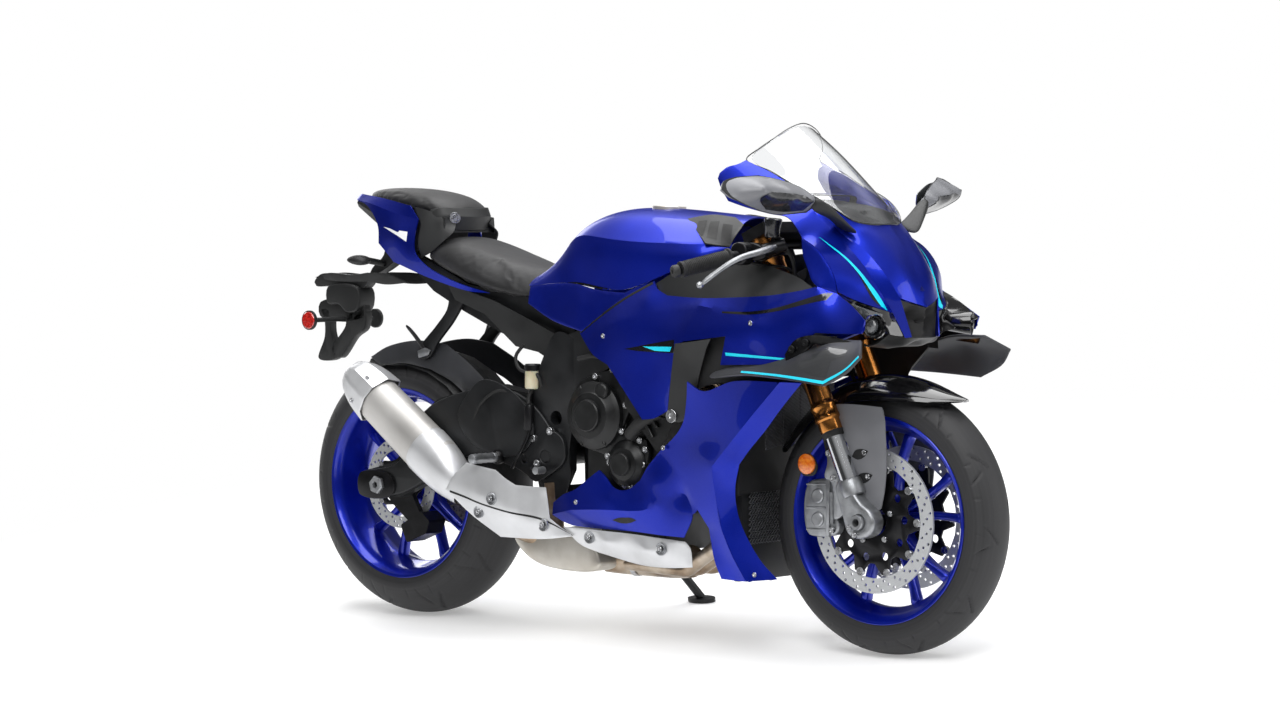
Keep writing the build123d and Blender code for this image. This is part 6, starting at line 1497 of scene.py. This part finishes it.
backs = [lathe(f"reflector_cup_{s}", [(0, -4), (22, -4), (24, -2), (24, 4), (22, 5), (0, 5)], (-275, s * 117, 711),
    (0, s, 0), 48) for s in TAG]
dress(merge("reflector_mounts", *arms, *backs), moulded_black, angle=40)
reds = [lathe(f"reflector_rear_{s}", [(0, 3), (19, 2), (21, 0), (0, 0)], (-275, s * 122.5, 711), (0, s, 0), 48)
    for s in TAG]
dress(merge("rear_side_reflectors", *reds), red_lens)
leaf = [[(x + 142, y - 2, z + 58) for x, z in line] for y, line in (
    (-60, [(-262, 806), (-272, 812), (-284, 806), (-286, 798), (-272, 794), (-260, 798)]),
    (-78, [(-238, 802), (-262, 816), (-292, 812), (-304, 800), (-272, 788), (-244, 792)]),
    (-102, [(-232, 802), (-260, 818), (-296, 814), (-312, 800), (-272, 786), (-240, 790)]),
    (-117, [(-256, 802), (-270, 808), (-286, 806), (-292, 800), (-274, 794), (-260, 797)]))]
signals = cage("rear_signal_pods", leaf, closed=True, caps=(True, True), levels=2)
stalks = [pipe(f"signal_stalk_{s}", [(-120, s * 12, 850), (-126, s * 66, 859)], 8, 16, smooth=False) for s in TAG]
dress(signals, moulded_black, ["rear_signals"], 50)
dress(merge("signal_stalks", *stalks), moulded_black)
hanger = slab("passenger_hangers", [(186, 790), (231, 785), (196, 724), (140, 664), (118, 632), (96, 622),
    (78, 632), (80, 650), (137, 707), (170, 744)], -106, -95, 3, 2, gap=12, both=True)
dress(hanger, frame_paint, ["passenger_footrests"])
foot_pegs = [cage(f"passenger_peg_{s}", [[(x + dx, y * s, z + dz)
    for dx, dz in ((-w, 2), (0, -h), (w, -2), (w + 3, h), (0, h + 5), (-w + 3, h + 3))]
    for x, y, z, w, h in ((98, 104, 640, 8, 4), (92, 118, 664, 8, 4), (85, 136, 688, 7, 4), (78, 150, 704, 6, 3))],
    both=False, closed=True, caps=(True, True), levels=2) for s in TAG]
dress(merge("passenger_pegs", *foot_pegs), black_anodise)
hinges = [slab(f"peg_hinge_{s}", [(84, 626), (116, 634), (122, 646), (104, 652), (80, 644)], s * 106, s * 112, 2,
    2) for s in TAG]
dress(merge("peg_hinges", *hinges), cast_silver, angle=40)
for s, tag in TAG.items():
    y0 = s * 150.5
    bracket = slab(f"rest_bracket_{tag}", [(540, 474), (584, 452), (590, 404), (540, 366), (500, 350), (470, 366),
        (440, 380), (396, 392), (384, 410), (400, 424), (431, 436), (500, 456)], y0, s * 163, 3, 3, gap=12,
        holes=[(530, 410, 15), (466, 402, 10)])
    peg = lathe(f"rest_peg_{tag}", [(0, 0), (9, 0), (11, 6), (12, 20), (11, 22), (12, 24), (11, 40), (12, 42),
        (11, 58), (12, 60), (11, 76), (12, 78), (11, 92), (8, 94), (0, 94)], (388, s * 166, 403), (0, s, 0), 40)
    boss = lathe(f"rest_boss_{tag}", [(0, 16), (12, 16), (17, 10), (17, 0), (0, 0)], (388, s * 162, 403),
        (0, s, 0), 40)
    pedal = pipe(f"rest_pedal_{tag}", [(500, s * 170, 384), (520, s * 178, 378), (545, s * 186, 380),
        (552, s * 194, 382)], 6.5, 16, 8)
    toe = lathe(f"rest_toe_{tag}", [(0, 0), (8, 0), (9, 4), (8, 8), (9, 12), (8, 16), (9, 20), (8, 24), (9, 30),
        (0, 32)], (551, s * 190, 381), (0, s, 0), 32)
    dress(bracket, frame_paint, ["rider_footrests"] if s < 0 else (), 35)
    dress(merge(f"rest_fittings_{tag}", peg, toe), cast_silver, angle=40)
    dress(merge(f"rest_levers_{tag}", boss, pedal), black_anodise, angle=40)
brake_rod = pipe("brake_rod", [(440, -176, 380), (470, -178, 420), (486, -170, 460), (492, -164, 500)], 4, 12, 8)
cylinder = lathe("master_body", [(0, 0), (10, 0), (12, 4), (12, 52), (9, 60), (0, 60)], (484, -166, 470),
    (0.05, 0, 1), 32)
dress(lathe("rear_pot", [(0, 0), (16, 0), (18, 3), (18, 42), (0, 42)], (484, -152, 566), (0, 0, 1), 40), cloudy_tank)
dress(merge("rear_pot_fittings", lathe("rear_pot_lid", [(0, 58), (17, 58), (20, 55), (20, 42), (0, 42)],
    (484, -152, 566), (0, 0, 1), 40), cylinder, slab("rear_pot_stay", [(478, 520), (480, 572), (492, 572),
    (490, 520)], -150, -146, 1, 1), brake_rod), black_anodise, angle=40)
loops = [pipe("pot_hose", [(484, -152, 566), (478, -158, 548), (482, -164, 530)], 5, 12, 6),
    pipe("rear_hose_a", [(446, -140, 668), (430, -150, 640), (450, -158, 610), (500, -156, 600), (512, -150, 570)],
    4.2, 12, 8), pipe("rear_hose_b", [(300, -162, 470), (340, -168, 530), (400, -166, 560), (450, -160, 540),
    (480, -160, 520)], 4.2, 12, 8)]
dress(merge("rear_hoses", *loops), black_parts_and_painted_shade)
skin("hugger_skin", [corner(-114, -70, 623), (-40, -84, 652), (60, -88, 668), corner(150, -84, 660),
    (240, -92, 610), (300, -98, 560), corner(330, -100, 470), (300, -100, 430), corner(270, -98, 440),
    (250, -98, 510), (190, -98, 566), corner(110, -98, 600), (20, -96, 612), (-60, -88, 606)],
    [(60, -98, 630), (220, -104, 560)], (0, -1, 0.4), vane_plastic)
skin("subframe_covers", [corner(179, -112, 806), corner(329, -114, 768), (450, -116, 722), corner(578, -118, 672),
    corner(624, -120, 656), corner(593, -120, 622), corner(520, -118, 626), corner(470, -116, 650),
    corner(398, -114, 662), corner(298, -112, 736), corner(202, -110, 768)], [(400, -120, 700)], RIGHT,
    moulded_black, angle=40)

# coolers ahead of the engine: a shroud with two cores, whose fins are laid by geometry nodes
shroud = cage("cooler_shroud", [[(1068, y, 446), (1080, y, 440), (1088, y, 300), (1088, y, 164), (1078, y, 150),
    (1064, y, 150), (1058, y, 300)] for y in (-130, -118, -60, 0)], closed=True, levels=2, caps=(True, False),
    creases=(0, 1, 4, 5), row_creases=(0, 1))
dress(shroud, moulded_black)


def fins(name, corner_spot, across, count, size, tilt, finish):
    """Rows of small bars on a grid of points, turned in alternate directions."""
    spots = [(corner_spot[0], corner_spot[1] + across[0] * (i + 0.5) / count[0],
        corner_spot[2] + across[1] * (j + 0.5) / count[1]) for i in range(count[0]) for j in range(count[1])]
    tree, entry, wanted = planted(name, {"Bar size": tuple(v / 1000 for v in size), "Bar tilt": tilt})
    bar = add(tree, "GeometryNodeMeshCube", {"Size": entry["Bar size"]}).outputs[0]
    odd = add(tree, "Math", {0: add(tree, "GeometryNodeInputIndex").outputs[0], 1: 2.0},
        operation="MODULO").outputs[0]
    swing = add(tree, "Math", {0: odd, 1: 2.0, 2: -1.0}, operation="MULTIPLY_ADD").outputs[0]
    turn = add(tree, "CombineXYZ", {0: add(tree, "Math", {0: swing, 1: entry["Bar tilt"]},
        operation="MULTIPLY").outputs[0]}).outputs[0]
    return dress(lay(name, spots, tree, entry, wanted, bar, turn, finish), finish)


fins("oil_cooler_core", (1092, -112, 232), (224, 192), (22, 30), (3, 11.5, 1.4), 0.5, fin_alloy)
fins("radiator_fins", (1150, -128, 452), (256, 140), (4, 44), (4, 62, 1.2), 0.0, fin_alloy)


# ---- carried nodes ----
WORN = {"blue_paint": body_blue, "blue_wheel": wheel_blue, "black_frame": frame_paint,
    "black_plastic": moulded_black, "black_gloss": gloss_black, "cover_black": engine_enamel, "steel": box_steel,
    "titanium": titanium, "gold": gold, "chrome": chrome, "caliper": cast_silver, "rubber": grip_rubber,
    "seat": seat_vinyl, "screen": clear_screen, "lamp": lamp_lens, "amber": amber_lens, "spring": black_anodise}
OWN = {"front_tyre": front_rubber, "rear_tyre": rear_rubber, "front_discs": front_disc_steel,
    "rear_disc": rear_disc_steel, "exhaust_headers": hot_steel, "exhaust_shields": shield_alloy,
    "radiator": black_parts_and_painted_shade, "engine_block": engine_enamel, "drive_chain": chain_steel, "cockpit": black_parts_and_painted_shade,
    "brake_hoses": grip_rubber, "fork_legs": cast_silver, "winglets": carbon, "hand_controls": black_anodise,
    "handlebars": black_anodise, "front_calipers": cast_silver, "rear_caliper": black_anodise, "front_axle": zinc,
    "rear_axle": zinc, "rear_sprocket": chain_steel, "yokes": black_anodise, "fuel_lid": gloss_black,
    "side_stand": frame_paint, "swingarm": frame_paint, "rear_hugger": moulded_black, "headlights": lamp_lens}
slot_of = {part["node"]: part["material_slot"] for part in frame["record"]["subparts"]}
for name, node in frame["nodes"].items():
    node.data.materials.clear()
    node.data.materials.append(OWN.get(name) or WORN[slot_of[name]])
    node.data.shade_smooth()
    node.data.set_sharp_from_angle(angle=radians(28))


# ---- studio ----
def any_ray(tree, path, *kinds):
    """1 for rays of any of the kinds."""
    found = path.outputs[kinds[0]]
    for kind in kinds[1:]:
        found = add(tree, "Math", {0: found, 1: path.outputs[kind]}, operation="MAXIMUM").outputs[0]
    return found


# The backdrop is white where it is seen, and dimmer where it lights: DOME_LIGHT and PAPER_LIGHT are
# strengths, FADE is the distance in metres over which the floor turns to plain white.
FLOOR_HALF, FADE, PAPER_LIGHT, DOME_LIGHT = 25, (1.5, 2.6), 0.3, 0.42
floor = bpy.data.objects.new("studio_floor", bpy.data.meshes.new("studio_floor"))
bpy.context.scene.collection.objects.link(floor)
floor.data.from_pydata([(x * FLOOR_HALF, y * FLOOR_HALF, 0) for x, y in ((-1, -1), (1, -1), (1, 1), (-1, 1))], [],
    [(0, 1, 2, 3)])
paper, tree, shader = new_finish("studio_paper", Roughness=0.9)
speck = add(tree, "TexNoise", {"Vector": millimetres(tree), "Scale": 40.0})
shade = add(tree, "ValToRGB", {"Fac": speck.outputs[0]})
shade.color_ramp.elements[0].color, shade.color_ramp.elements[1].color = tone("#E6E6E6"), tone("#E9E9E9")
tree.links.new(shade.outputs[0], shader.inputs["Base Color"])
shader.inputs["Emission Color"].default_value = (1, 1, 1, 1)
shader.inputs["Emission Strength"].default_value = PAPER_LIGHT
reach = add(tree, "VectorMath", {0: millimetres(tree)}, operation="LENGTH").outputs["Value"]
far = add(tree, "MapRange", {"Value": reach, "From Min": FADE[0], "From Max": FADE[1]})
ray = add(tree, "LightPath")
seen = any_ray(tree, ray, "Is Camera Ray", "Is Glossy Ray", "Is Transmission Ray")
veil = add(tree, "Math", {0: far.outputs[0], 1: seen}, operation="MULTIPLY")
bright = add(tree, "Emission", {"Color": (1, 1, 1, 1), "Strength": 1.0})
output = next(n for n in tree.nodes if n.type == "OUTPUT_MATERIAL")
mixed_shader = add(tree, "MixShader", {0: veil.outputs[0], 1: shader.outputs[0], 2: bright.outputs[0]})
tree.links.new(mixed_shader.outputs[0], output.inputs["Surface"])
floor.data.materials.append(paper)

world = bpy.data.worlds.new("studio")
bpy.context.scene.world = world
world.use_nodes = True
tree = world.node_tree
tree.nodes.clear()
path = add(tree, "LightPath")
shown = any_ray(tree, path, "Is Camera Ray", "Is Transmission Ray")
strength = add(tree, "Mix", {"Factor": shown, 2: DOME_LIGHT, 3: 1.0}, data_type="FLOAT").outputs[0]
facing = add(tree, "TexCoord").outputs["Generated"]
upward = add(tree, "SeparateXYZ", {0: facing}).outputs[2]
dome = add(tree, "ValToRGB", {"Fac": add(tree, "MapRange", {"Value": upward, "From Min": -0.2,
    "From Max": 1.0}).outputs[0]})
stops = dome.color_ramp.elements
stops[0].position, stops[0].color = 0.0, (0.9, 0.9, 0.9, 1)
stops[1].position, stops[1].color = 1.0, (1, 1, 1, 1)
for place, level in ((0.15, 0.16), (0.4, 0.1), (0.6, 0.9)):
    stops.new(place).color = (level, level, level, 1)
mixed = add(tree, "Mix", {"Factor": path.outputs["Is Glossy Ray"], 6: (1, 1, 1, 1), 7: dome.outputs[0]},
    data_type="RGBA")
back = add(tree, "Background", {"Color": mixed.outputs[2], "Strength": strength})
add(tree, "OutputWorld", {"Surface": back.outputs[0]})

for name, spot, size, power, aim in (("key_panel", (2600, -2600, 3600), 2.6, 130, (700, 0, 500)),
        ("top_panel", (500, 300, 3800), 3.2, 150, (700, 0, 500)), ("front_panel", (5200, 1500, 1800), 2.2, 60,
        (900, 0, 600)), ("rear_panel", (-3600, 1800, 2200), 2.4, 60, (500, 0, 600))):
    lamp = bpy.data.lights.new(name, "AREA")
    lamp.size, lamp.energy = size, power
    stand = bpy.data.objects.new(name, lamp)
    stand.location = BIKE @ Vector(spot)
    stand.rotation_euler = (BIKE @ Vector(aim) - stand.location).to_track_quat("-Z", "Y").to_euler()
    bpy.context.scene.collection.objects.link(stand)

# The camera leans with the bike, so its place and its angles are given in the upright bike's frame.
azimuth, elevation = radians(39.535), radians(2.185)
CAMERA_SPOT = Vector((6310.12, -6817.95, 980.44))
backward = Vector((sin(azimuth) * cos(elevation), -cos(azimuth) * cos(elevation),
    sin(elevation)))
right = Vector((0, 0, 1)).cross(backward).normalized()
lens = bpy.data.cameras.new("studio_camera")
lens.lens, lens.sensor_width, lens.shift_y, lens.clip_end = 106.92, 36.0, -0.0037, 200.0
camera = bpy.data.objects.new("studio_camera", lens)
turn = LEAN.to_3x3() @ Matrix((right, backward.cross(right), backward)).transposed()
camera.matrix_world = Matrix.Translation(BIKE @ CAMERA_SPOT) @ turn.to_4x4()
bpy.context.scene.collection.objects.link(camera)
bpy.context.scene.camera = camera
bpy.context.scene.view_settings.view_transform = "Standard"
